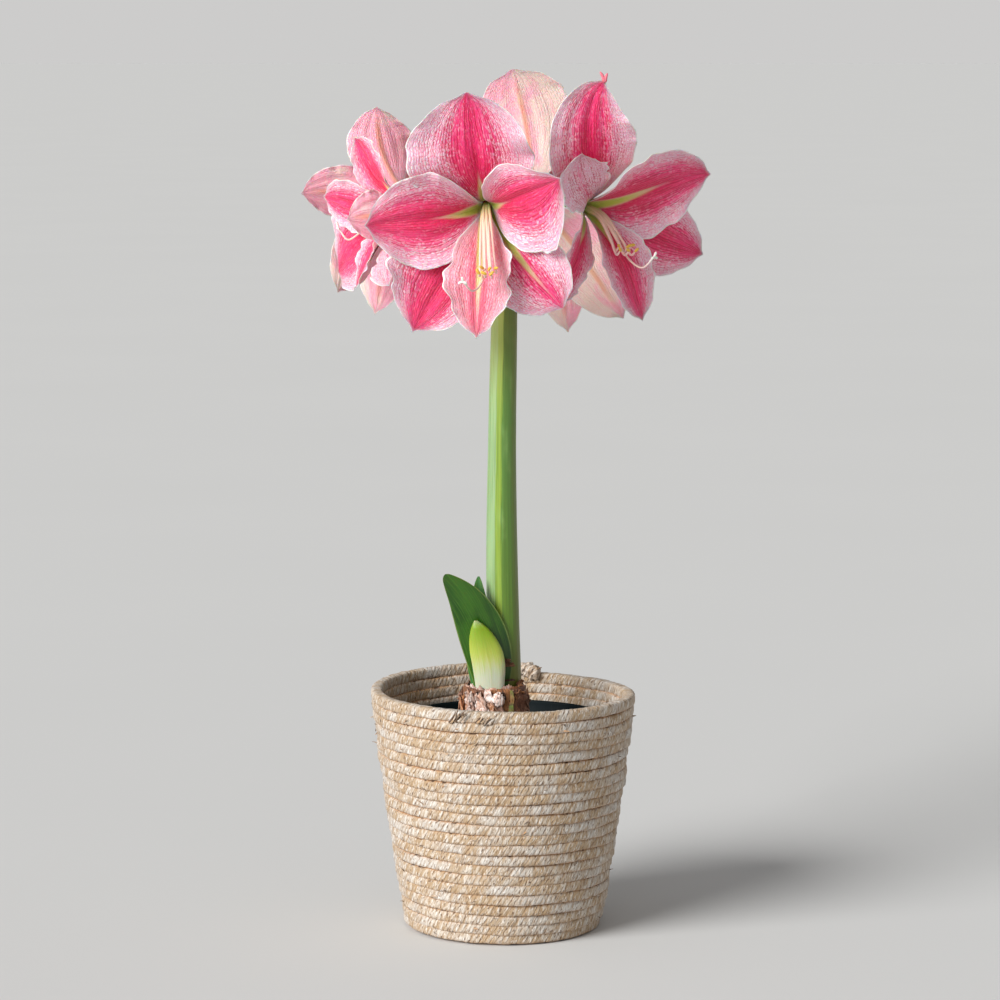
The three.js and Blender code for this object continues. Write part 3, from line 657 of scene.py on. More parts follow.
bulb_paper = new_finish("bulb_paper", Roughness=0.65, Sheen_Weight=0.1)
paleness_and_shade = mark(bulb_paper, "pale")
paper = grouped(dry_fibres, {"Place": mark(bulb_paper, "strand", "Vector"), "Fibre Width": 1.2,
                             "Fibre Length": 12.0})
fibres = paper["Fibres"]
scale_colour = painted(
    (122, 72, 44),
    (between(paper["Patches"], 0.4, 0.6), (196, 130, 78)),
    (between(fibres, 0.52, 0.66, 0.75), (72, 42, 28)),
    (between(fibres, 0.42, 0.34, 0.6), (206, 160, 126)),
    (between(paleness_and_shade, 0.0, 1.0), mixed(between(fibres, 0.4, 0.62), (250, 238, 232), (206, 160, 140))),
    (between(paper["Specks"], 0.62, 0.72, 0.8), (62, 36, 24)),
    # painted shade: a pale mark below 0 paints the paper darker, as the shade of hollows and of the body
    # under the scales
    (between(paleness_and_shade, 0.0, -0.8), (34, 20, 15)),
    (mark(bulb_paper, "living") * between(paper["Patches"], 0.62, 0.5),
     mixed(between(fibres, 0.35, 0.65), (40, 48, 14), (104, 126, 44))),
)
wear(bulb_paper, scale_colour, between(fibres, 0.3, 0.7, 0.8, 0.5), fibres, 0.7)

outline = flowing_line([(r, 0, BULB_BOTTOM + z) for r, z in BULB_OUTLINE], 54)
points, faces = turned([*outline[:, ::2], (NECK_RADIUS - 0.8, NECK_TOP - 4.5),
                        (NECK_RADIUS - 3.5, NECK_TOP - 3.6), (NECK_RADIUS - 6, WELL_FLOOR)], 120)
bearing = np.arctan2(points[:, 1], points[:, 0])
height = points[:, 2]
lobes = np.clip((height - BULB_BOTTOM) / 20, 0, 1) * (
    0.012 * np.sin(5 * bearing + 1) + 0.008 * np.sin(9 * bearing + height / 40)
    + 0.006 * np.sin(31 * bearing + 3 * np.sin(height / 13)))
points[:, :2] *= 1 + lobes[:, None]
points[:, :2] *= 1 + rough(points, 14, 0.008, 21)[:, None]
# the body is painted darker with a pale mark below 0, as shade under its scales
bulb = Bodies().add(points + BULB_CENTRE, faces, pale=-0.3, strand=polar(NECK_RADIUS, bearing, points[:, 2]))
hand_over(bulb.piece("bulb_body", bulb_paper, 70), "bulb_scale", "bulb")

# the torn scales: bearing in degrees from the right, anticlockwise from above; half width in degrees; lowest
# edge and length; how far the tip rolls out, in degrees; how far it stands off; how pale it is, where below 0
# it is painted darker, -1 being painted shade for a hollow, and 2 a strip of living green; how crumpled
TORN_SCALES = [(-44, 36, 172, 37, 3, 0.8, 0.12, 0.6), (-12, 30, 170, 37, 2, 0.2, 0.0, 0.5),
               (-150, 26, 170, 39, 2, 0.2, 0.4, 1.2), (165, 28, 168, 40, 2, 0.1, 0.3, 1.0),
               (-118, 22, 172, 37, 4, 0.7, 0.5, 1.4), (-92, 20, 172, 27, 8, 0.8, 0.25, 1.4),
               (20, 30, 168, 40, 5, 0.6, 0.05, 0.7), (60, 30, 170, 38, 5, 0.7, 0.15, 0.7),
               (95, 30, 168, 41, 5, 0.6, 0.1, 0.7), (132, 28, 170, 38, 6, 0.7, 0.25, 0.9),
               (-98, 8, 194, 17, 15, 1.8, 1.0, 1.2), (-125, 5, 190, 17, 110, 1.0, 0.9, 0.8),
               (-117, 5, 192, 14, 90, 1.2, 1.0, 0.8), (-172, 9, 189, 11, 70, 1.4, 0.3, 0.8),
               (-178, 5, 194, 9, 100, 0.8, 0.35, 1.0), (-96, 8, 181, 16, 14, 2.2, 0.12, 1.5),
               (-126, 5, 183, 10, 150, 2.3, 1.0, 0.8), (-119, 6, 200, 7, 0, 0.9, -0.75, 1.3),
               (-129, 7, 184, 11, 130, 1.8, 1.0, 1.0), (-117, 8, 182, 11, 150, 2.0, 0.95, 1.0),
               (-138, 7, 188, 10, 100, 1.4, 0.8, 1.0), (-148, 9, 194, 13, 60, 1.2, 0.65, 1.2),
               (-101, 13, 180, 19, 14, 1.7, 0.3, 1.6), (-80, 11, 180, 18, 16, 1.6, 0.3, 1.6),
               (-109, 8, 192, 15, 30, 1.2, 0.6, 1.2), (-74, 5, 199, 8, 0, 1.0, -0.7, 1.4),
               (-63, 4, 178, 31, 2, 1.3, 2, 1.0), (-34, 27, 176, 30, 4, 1.3, 0.15, 0.5),
               (-130, 10, 198, 11, 25, 1.0, 0.15, 1.2), (-160, 12, 184, 16, 50, 1.6, 0.2, 1.2)]
# the torn rim round the mouth of the neck, in the same terms, one inside the other
RIM_SCALES = [(-60, 24, 200, 8.5, 4, 2.2, 0.35, 0.5), (-50, 22, 200, 10.5, 0, 0.9, 0.05, 0.5),
              (-66, 20, 200, 12, 0, -0.4, 0.45, 0.5), (-25, 20, 200, 11, 4, 0.6, 0.1, 0.8),
              (4, 20, 200, 10, 4, 0.8, 0.2, 0.8), (36, 22, 200, 11, 4, 0.6, 0.1, 0.8),
              (70, 22, 200, 10, 4, 0.8, 0.3, 0.8), (104, 22, 200, 12, 4, 0.6, 0.1, 0.8),
              (138, 22, 200, 10, 4, 0.8, 0.3, 0.8), (170, 20, 200, 9, 6, 0.6, 0.3, 0.9),
              (-160, 18, 200, 10, 6, 0.8, 0.5, 1.0), (-136, 15, 200, 12, 4, 0.6, 0.6, 1.0),
              (-114, 14, 200, 12, 4, 0.9, 0.4, 1.0), (-92, 14, 200, 11, 4, 0.8, 0.55, 1.0)]
# scraps that the growing stalk has carried up with it
SCRAPS = [(-80, 17, 226, 4.5, 50, 0.3, -0.5, 0.8), (-86, 11, 230, 3.6, 60, 0.8, -0.3, 1.0),
          (-78, 18, 213.5, 2.0, 40, 0.3, -0.55, 0.8), (-30, 16, 206, 8, 60, -3, 0.1, 0.8)]
STALK_FOOT, SCRAP_RADIUS = (0.3, 5.2, 0), 19.2
SMALL_SCALES = 26
SCALE_ROWS, SCALE_COLUMNS = 26, 16
SCALE_THICKNESS = 0.3
LIVING_PALENESS = -0.2
draw = np.random.default_rng(31)
small = [(draw.uniform(-50, 200), draw.uniform(7, 14), draw.uniform(180, 198), draw.uniform(8, 15),
          draw.uniform(10, 60), draw.uniform(0.2, 1.2), draw.uniform(0.0, 0.6), 1.0)
         for _ in range(SMALL_SCALES)]


def torn_scale(shape, number, middle, girth):
    """Adds one flake about an upright line, on a neck given by its heights and its radii there."""
    bearing, half, low, length, roll, off, pale, crumple = shape
    t = np.linspace(0, 1, SCALE_ROWS + 1)[:, None]
    s = np.linspace(-1, 1, SCALE_COLUMNS + 1)
    tear = 1 - 0.2 * np.abs(s) ** 3 - 0.16 * draw.random(SCALE_COLUMNS + 1)
    along = t * tear * length
    rolled = np.radians(roll * ease(0.35, 1.0, t * (0.8 + 0.2 * np.sin(3 * s + number))) + 6 * s)
    step = np.diff(along, axis=0, prepend=0)
    out = off * np.minimum(1, 3 * t) + np.cumsum(step * np.sin(rolled), axis=0)
    z = low + np.cumsum(step * np.cos(rolled), axis=0)
    ragged = 1 - 0.35 * t ** 2 + 0.13 * np.sin(5 * t + number) + 0.09 * np.sin(13 * t + 2 * number + s)
    turn = np.radians(bearing + half * s * ragged + 6 * t * np.sin(number))
    r = np.interp(np.clip(z, low, low + length), *girth) + 0.1 + out
    flat = xyz(r * turn, along, 40.0 * number).reshape(-1, 3)
    lumps = creased(flat, 9, 0.42, 100 + number) + creased(flat, 4, 0.24, 200 + number)
    r = r + crumple * lumps.reshape(z.shape) * np.minimum(1, 2.5 * t)
    add_sheet(scales, (polar(r, turn, z) + middle)[:, ::-1], SCALE_THICKNESS,
              strand=xyz(r * turn, 9.0 * number, along)[:, ::-1],
              living=float(pale > 1), pale=LIVING_PALENESS if pale > 1 else pale)


scales = Bodies()
for number, shape in enumerate(TORN_SCALES + small + RIM_SCALES):
    torn_scale(shape, number, BULB_CENTRE,
               ((0,), (MOUTH_RADIUS,)) if shape in RIM_SCALES else (outline[:, 2], outline[:, 0]))
# two crinkled balls of thin white scale; their axes are left handed, so their faces are turned round
for bearing, z, half_size in ((-83, 200, (5.2, 3.2, 6.2)), (-106, 190, (5.0, 2.6, 3.6))):
    a = math.radians(bearing)
    out = np.array((math.cos(a), math.sin(a), 0))
    ball, faces = turned([(math.sin(u), -math.cos(u)) for u in np.linspace(0.06, math.pi - 0.06, 22)], 30)
    ball = ball * half_size
    ball = ball * (1 + (creased(ball, 3.6, 0.13, 41) + creased(ball, 1.8, 0.05, 42)))[:, None]
    placed = ball @ ((-out[1], out[0], 0), out, (0, 0, 1)) + (NECK_RADIUS + 1.4) * out + (0, 0, z)
    scales.add(placed + BULB_CENTRE, [face[::-1] for face in faces], pale=1.0, living=0.0, strand=ball)
for number, shape in enumerate(SCRAPS, 70):
    torn_scale(shape, number, STALK_FOOT, ((0,), (SCRAP_RADIUS,)))
hand_over(scales.piece("bulb_scales", bulb_paper), "bulb_scale", "bulb")

# ---------------------------------------------------------------------------------------------------------
# Loose ends of the basket. Where the rope stops it is bent inside the rim as a frayed knob, and short ends of
# husk stand off the rows all round, thickest at two joins in the front of the rim.
# ---------------------------------------------------------------------------------------------------------
WISPS = 150
WISP_THICKNESS = 0.22
# bearing, how many ends stand off there, how long they are, and how dark every second one is painted,
# as the shadow in the slits between the light ones
JOINS = [(-111.0, 8, 11, 0.7), (-99.5, 8, 7, 0.6)]
JOIN_TURNS = 0.018
KNOB_WISPS = 16
KNOB_RADIUS = 6.9
KNOB_RINGS = KNOB_SIDES = 40
KNOB_FROM, KNOB_TO = -0.032, 0.004  # turns from the rope's end


def swept(route, radii, sides):
    """A closed round body along a route of points, with a radius for each: its points and faces."""
    headings = unit(np.gradient(route, axis=0))
    lay = np.cross(headings[0], (0.31, 0.93, 0.2))
    cosine, sine = np.cos(angles(sides))[:, None], np.sin(angles(sides))[:, None]
    rings = []
    for point, heading, radius in zip(route, headings, radii):
        lay = unit(lay - heading * (lay @ heading))
        rings.append(point + np.reshape(radius, (-1, 1)) * (cosine * lay + sine * np.cross(heading, lay)))
    return np.concatenate(rings), skin_faces(len(route), sides)


def wisp(start, heading, lift, length, width, number):
    """A thin strip of husk that leaves the rope at start and curls away along lift, for add_sheet."""
    t = np.linspace(0, 1, 9)[:, None]
    s = np.array((-1.0, 0.0, 1.0))
    heading, lift = unit(heading), unit(lift)
    line = start + t * length * heading + t ** 2 * length * draw.uniform(0.15, 0.7) * lift
    aside = width / 2 * (1 - 0.75 * t ** 2) * s
    grid = line[:, None] + np.cross(heading, lift) * aside[..., None] + lift * (0.25 * aside * s)[..., None]
    return {"grid": grid, "thickness": WISP_THICKNESS, "strand": xyz(s * width, 7.0 * number, length * t)}


def rope_frame(turns):
    """The rope's place, its run, and the way out of the basket there."""
    before, place, after = rope_route(turns + np.array((-0.002, 0, 0.002)))
    return place, unit(after - before), unit(place * (1, 1, 0))


draw = np.random.default_rng(77)
ends = Bodies()
for number in range(WISPS):
    place, run, out = rope_frame(draw.uniform(0.2, WALL_TURNS - 0.2))
    start = place + out * (ROPE_RADIUS - 0.5) + (0, 0, draw.uniform(-3, 3))
    strip = wisp(start, run * draw.choice((-1, 1)) + (0, 0, draw.uniform(-0.5, 0.9)),
                 out + (0, 0, draw.uniform(-0.3, 0.3)), draw.uniform(3, 9), draw.uniform(0.8, 1.9), number)
    add_sheet(ends, **strip, groove=draw.choice((0.0, 0.4, 1.0)), scorched=draw.choice((0.0, 0.0, 0.45)))
# every second end at a join is a dark strip set back in the rope, painted shadow in the slits between light
# ones
for bearing, count, length, slit_shade in JOINS:
    turns = WALL_TURNS - ((bearing - ROPE_END_ANGLE) % 360) / 360
    for number in range(count):
        dark = number % 2
        place, run, out = rope_frame(turns + (number / count - 0.5) * JOIN_TURNS)
        start = place + out * (ROPE_RADIUS + 0.3 - 0.5 * dark) + (0, 0, draw.uniform(-6, -4))
        strip = wisp(start, (0, 0, 1) - run * draw.uniform(0.6, 1.0), out + (0, 0, 0.2),
                     length * draw.uniform(0.75, 1.2), draw.uniform(1.6, 2.6), 200 + number)
        add_sheet(ends, **strip, groove=draw.uniform(0.0, 0.6), scorched=slit_shade * dark)
knob_line = rope_route(WALL_TURNS + np.linspace(KNOB_FROM, KNOB_TO, KNOB_RINGS)) + (0, 0, 0.6)
girth = KNOB_RADIUS * np.sqrt(np.clip(1 - np.linspace(-1, 1, KNOB_RINGS) ** 4, 0.02, 1))
points, faces = swept(knob_line, girth * np.linspace(0.8, 1.05, KNOB_RINGS), KNOB_SIDES)
points += unit(points - np.repeat(knob_line, KNOB_SIDES, axis=0)) * (
    rough(points, 7, 0.9, 55) + rough(points, 3, 0.45, 56) + creased(points, 4, 0.2, 58))[:, None]
t = np.linspace(0, 1, KNOB_RINGS)[:, None]
# the knob is painted darker in the hollows between its creases, as shade
ends.add(points, faces, groove=0.15, scorched=np.clip(-0.5 * creased(points, 6, 1.0, 57) - 0.25, 0, 0.7),
         strand=polar(5, angles(KNOB_SIDES) + 7 * t, 22 * t))
for number in range(KNOB_WISPS):
    place, run, out = rope_frame(WALL_TURNS - draw.uniform(-0.002, 0.03))
    aim = unit(draw.normal(size=3) + (0, 0, 0.5) - 0.3 * out)
    lie = unit(np.cross(aim, draw.normal(size=3)))
    strip = wisp(place + 6.6 * aim, lie - 0.3 * aim, aim, draw.uniform(3, 5), draw.uniform(1.4, 2.6),
                 300 + number)
    add_sheet(ends, **strip, groove=draw.uniform(0.0, 0.7), scorched=draw.choice((0.0, 0.0, 0.5)))
hand_over(ends.piece("basket_loose_ends", husk_rope), "rope_fibre")

# ---------------------------------------------------------------------------------------------------------
# Flower stalk. A thick hollow oval stalk, waxy and finely ribbed lengthwise, fresh green with an olive and
# slightly bronzed foot, which stands in the neck of the bulb and swells where the flower stems leave it.
# ---------------------------------------------------------------------------------------------------------
STALK_TOP = 576.0
STALK_LINE = [(1, 6, WELL_FLOOR), (-0.6, 4, 270), (-1.5, 1, 350), (-0.9, 0, 440), (0.6, 0, 520),
              (1.2, 0, STALK_TOP)]
# height and half the width there
STALK_HALF_WIDTH = [(203.3, 14.4), (222, 14.4), (260, 14.0), (330, 13.2), (410, 11.9), (490, 11.3),
                    (545, 10.65), (564, 10.95), (571, 12.2), (574.5, 11.4), (576, 8.5)]
STALK_TOP_RINGS = (569, 571, 572.6, 574, 575, 575.6, 575.9, STALK_TOP)
STALK_SIDES = 72
STALK_RINGS = 150
STALK_RIBS = 24

# fine veins that run along the third coordinate of Place, for the stalk, stems, leaves and shoot
lengthwise_veins, given, put = new_group(
    "lengthwise_veins", {"Place": "Vector", "Vein Gap": 1.2, "Vein Length": 60.0},
    {"Veins": "Float", "Clouds": "Float"})
thin = 1.0 / given["Vein Gap"]
feed(put, {"Veins": noise(given["Place"] * joined(thin, thin, 1.0 / given["Vein Length"]), 2.0, 0.55),
           "Clouds": noise(given["Place"] * (0.09, 0.09, 0.03), 3.0)})

stalk_skin = new_finish("stalk_skin", Roughness=0.42, Coat_Weight=0.12, Coat_Roughness=0.4,
                        Subsurface_Weight=0.15, Subsurface_Scale=0.004)
along = mark(stalk_skin, "along", "Vector")
side, _, height = along.split()
green = grouped(lengthwise_veins, {"Place": along, "Vein Gap": 1.3, "Vein Length": 90.0})
# broad lengthwise bands from left to right, which paint the light falling from the left: pale waxy green
# as painted light on the left, yellow green, deep green, and olive as painted shade on the right
side = side + green["Clouds"] * 3.0
stalk_colour = painted(
    (98, 134, 36),
    (between(height, 230.0, 420.0), (92, 134, 58)),
    (between(side, -3.2, -4.6), mixed(between(height, 200.0, 330.0), (130, 160, 76), (144, 174, 122))),
    (between(side, -4.4, -3.4) * between(side, 1.6, 0.6), (136, 164, 54)),
    (between(side, 8.0, 11.5, 0.6), (112, 116, 50)),
    (between(green["Veins"], 0.42, 0.66, 0.45), (84, 116, 42)),
    (between(green["Clouds"], 0.5, 0.75, 0.35), (150, 184, 108)),
    # painted light and shadow at the top: the left half lighter, the right half dark olive as the blooms'
    # shadow
    (between(height, 420.0, 550.0, 0.75), mixed(between(side, 1.6, 0.6), (104, 112, 28), (176, 184, 96))),
    (between(height, 262.0, 200.0, 0.6), (120, 106, 44)),
)
wear(stalk_skin, stalk_colour, between(green["Clouds"], 0.3, 0.7, 0.52, 0.36), green["Veins"], 0.3)

middle = flowing_line(STALK_LINE, 400)
z = np.linspace(WELL_FLOOR, STALK_TOP, STALK_RINGS)[:, None]
z[-len(STALK_TOP_RINGS):, 0] = STALK_TOP_RINGS
x, y = (np.interp(z, middle[:, 2], middle[:, i]) for i in (0, 1))
angle = angles(STALK_SIDES)
half = np.interp(z, *zip(*STALK_HALF_WIDTH)) * (
    1 - 0.012 * np.cos(STALK_RIBS * angle) - 0.008 * np.cos(7 * angle + 1))
stalk = Bodies().add(xyz(x + half * np.cos(angle), y + 0.9 * half * np.sin(angle), z),
                     skin_faces(STALK_RINGS, STALK_SIDES), along=polar(12, angle, z))
hand_over(stalk.piece("flower_stalk", stalk_skin, 60), "stalk_green", "scape")

# ---------------------------------------------------------------------------------------------------------
# Leaves and new shoot. Strap leaves, thick, glossy and finely veined lengthwise, push up out of the neck
# beside the stalk, with a blunt creamy shoot of two young leaves in front of them.
# ---------------------------------------------------------------------------------------------------------
LEAF_THICKNESS = 1.3
LEAF_ROWS, LEAF_COLUMNS = 64, 18
# height, then the middle, half width and half depth there
SHOOT_SHAPE = [(203.3, -11.6, 11.6, 3.7), (213, -12, 12.3, 4), (228, -12.9, 13.7, 4.2),
               (241, -15.2, 13.6, 4.1), (252, -18, 11, 3.6), (261, -20.8, 6.6, 2.7), (267, -23.4, 1.6, 1.2)]
SHOOT_RINGS, SHOOT_SIDES = 60, 64
SHOOT_WRAP = 0.05  # how far the outer young leaf stands off the inner one

leaf_skin = new_finish("leaf_skin", Roughness=0.36, Coat_Weight=0.1, Coat_Roughness=0.3,
                       Subsurface_Weight=0.12, Subsurface_Scale=0.003)
green = grouped(lengthwise_veins, {"Place": mark(leaf_skin, "along", "Vector"), "Vein Gap": 0.9,
                                   "Vein Length": 45.0})
leaf_colour = painted(
    (26, 70, 2),
    (between(green["Clouds"], 0.35, 0.65), (46, 94, 6)),
    (mark(leaf_skin, "waxy"), (66, 122, 66)),
    (between(green["Veins"], 0.48, 0.68, 0.34), (88, 136, 36)),
    (between(mark(leaf_skin, "margin"), 0.93, 1.0, 0.6), (140, 160, 82)),
)
wear(leaf_skin, leaf_colour, between(green["Clouds"], 0.3, 0.7, 0.46, 0.3), green["Veins"], 0.35)


def sampled(line, t):
    """The points of a line, or its directions, at the shares t of its run."""
    return np.stack([np.interp(t, np.linspace(0, 1, len(line)), line[:, i]) for i in range(3)], axis=-1)


def square_to(heading, across):
    """The part of a direction that is square to a heading, one unit long."""
    return unit(across - (across * heading).sum(-1, keepdims=True) * heading)


def strap_leaf(name, node, line, half_width, hollow, lean, waxy):
    """A leaf about its midrib: hollow is how far the edges bend back, lean turns the blade, waxy pales it."""
    t = 1 - (1 - np.linspace(0, 1, LEAF_ROWS + 1)) ** 1.35
    rib = sampled(flowing_line(line, 400), t)
    up = unit(np.gradient(rib, axis=0))
    across = square_to(up, np.array((math.cos(math.radians(lean)), math.sin(math.radians(lean)), 0.0)))
    out = np.cross(across, up)
    t, s = t[:, None], np.linspace(1, -1, LEAF_COLUMNS + 1)
    w = np.maximum(0.5, half_width(t) * np.sqrt(np.clip(1 - t ** 4, 0, 1)))
    lift = (0.5 * np.sin(9 * t + 1.5 * s) - hollow * w) * s ** 2 - 0.66 * np.exp(-(s * w / 2.4) ** 2)
    grid = rib[:, None] + across[:, None] * (w * s)[..., None] + out[:, None] * lift[..., None]
    thickness = LEAF_THICKNESS * (1 - 0.65 * np.abs(s) ** 4) * np.clip(4 * (1 - t), 0.35, 1)
    place = xyz(w * s, 0.0, rib[:, None, 2])
    leaf = Bodies()
    add_sheet(leaf, grid, thickness, along=[place, place + (40, 0, 0)], margin=np.abs(s) + 0 * t, waxy=waxy)
    hand_over(leaf.piece(name, leaf_skin, 60), "leaf_green", node)


strap_leaf("front_leaf", "leaf_front",
           [(-10, -11.2, 204.4), (-11.5, -12, 228), (-19, -14.5, 256), (-32, -18, 283), (-50, -21, 306)],
           lambda t: 13.5 + 7.5 * np.sin(math.pi * np.clip(t / 0.95, 0, 1)), 0.18, 0, 0.0)
strap_leaf("back_leaf", "leaf_back",
           [(-19.5, -3.2, 203.7), (-19.5, -4.2, 230), (-20.5, -6, 262), (-21.5, -9, 303)],
           lambda t: 5.5 + 9 * np.sin(math.pi * (0.1 + 0.85 * t)), 0.1, -24, 0.7)

shoot_skin = new_finish("shoot_skin", Roughness=0.4, Coat_Weight=0.1, Coat_Roughness=0.35,
                        Subsurface_Weight=0.3, Subsurface_Scale=0.005)
along = mark(shoot_skin, "along", "Vector")
green = grouped(lengthwise_veins, {"Place": along, "Vein Gap": 0.8, "Vein Length": 30.0})
rise = along.split()[2] + green["Veins"] * 16.0
shoot_colour = painted((204, 210, 186), (between(rise, 222.0, 250.0), (188, 198, 86)),
                       (between(rise, 238.0, 268.0), (126, 158, 6)),
                       (between(rise, 270.0, 276.0, 0.7), (176, 178, 150)),
                       (between(green["Veins"], 0.5, 0.7, 0.3), (150, 176, 84)))
wear(shoot_skin, shoot_colour, None, green["Veins"], 0.25)

shoot_line = flowing_line([(x, half, z) for z, x, half, _ in SHOOT_SHAPE], SHOOT_RINGS)
x, half, z = (shoot_line[:, i, None] for i in range(3))
depth = np.interp(z, [ring[0] for ring in SHOOT_SHAPE], [ring[3] for ring in SHOOT_SHAPE])
angle = angles(SHOOT_SIDES)
# the outer young leaf wraps the inner one, and its edge shows as a fine step down the right side
step = 1 + SHOOT_WRAP * np.tanh(6 * np.sin(angle + 0.9)) * (np.cos(angle + 0.9) > -0.5)
rings = xyz(x + half * step * np.cos(angle),
            -18 - 0.05 * (z - WELL_FLOOR) + 1.25 * depth * step * np.sin(angle), z)
shoot = Bodies().add(rings, skin_faces(SHOOT_RINGS, SHOOT_SIDES), along=polar(11, angle, z))
hand_over(shoot.piece("young_shoot", shoot_skin, 60), "shoot_cream", "new_shoot")

# ---------------------------------------------------------------------------------------------------------
# Bracts. The two halves of the papery sheath that wrapped the flower buds. It split as they opened, and
# now hangs withered, tan and rolled at its edges, from the top of the stalk.
# ---------------------------------------------------------------------------------------------------------
BRACT_ROOT = np.array((1.2, 0, 567))
BRACT_ROOT_RADIUS = 13.2
BRACT_HALF_WIDTH = 7.0
BRACT_THICKNESS = 0.35

bract_paper = new_finish("bract_paper", Roughness=0.8, Subsurface_Weight=0.1, Subsurface_Scale=0.002)
paper = grouped(dry_fibres, {"Place": mark(bract_paper, "strand", "Vector"), "Fibre Width": 0.6,
                             "Fibre Length": 14.0})
bract_colour = painted((196, 152, 118), (between(paper["Patches"], 0.35, 0.65), (214, 182, 148)),
                       (between(paper["Fibres"], 0.5, 0.7, 0.7), (142, 96, 70)))
wear(bract_paper, bract_colour, None, paper["Fibres"], 0.4)
for name, node, heading, reach, droop, seed in (("bract_right", "spathe_right", 100, 34, 20, 1),
                                                ("bract_left", "spathe_left", -115, 30, 16, 2)):
    h = math.radians(heading)
    out, across = np.array((math.sin(h), -math.cos(h), 0)), np.array((math.cos(h), math.sin(h), 0))
    t, s = np.linspace(0, 1, 37)[:, None], np.linspace(-1, 1, 15)
    w = np.maximum(0.4, BRACT_HALF_WIDTH * np.sqrt(np.clip(1 - t ** 3, 0, 1)) * (1 - 0.35 * t))
    lift = 5 * np.sin(math.pi * t * 0.8) - droop * t * t + 2.6 * np.abs(s) ** 1.6 * (w / BRACT_HALF_WIDTH)
    flat = xyz(w * s, reach * t, 0.0).reshape(-1, 3)
    lift = lift + (rough(flat, 7, 0.5, 60 + seed) + rough(flat, 3.5, 0.2, 70 + seed)).reshape(lift.shape)
    grid = (BRACT_ROOT + out * (BRACT_ROOT_RADIUS + reach * t)[..., None] + across * (w * s)[..., None]
            + np.array((0, 0, 1)) * lift[..., None])
    bract = Bodies()
    add_sheet(bract, grid, BRACT_THICKNESS, strand=xyz(w * s, 5.0 * seed, reach * t))
    hand_over(bract.piece(name, bract_paper), "dry_bract", node)

# ---------------------------------------------------------------------------------------------------------
# Blooms. Five open trumpets of six fleshy tepals, the three outer ones behind the three inner ones, joined
# in a short green tube. Each faces its own way on the stalk, with its tepals spread, arched and ruffled.
# ---------------------------------------------------------------------------------------------------------
TUBE_RADIUS = 4.4
TUBE_LENGTH = 14.0
TUBE_SIDES = 36
TEPAL_FOOT = 3.6  # half the width of a tepal where it leaves the tube
TEPAL_ROWS, TEPAL_COLUMNS = 60, 36
RIB_STEPS = 240
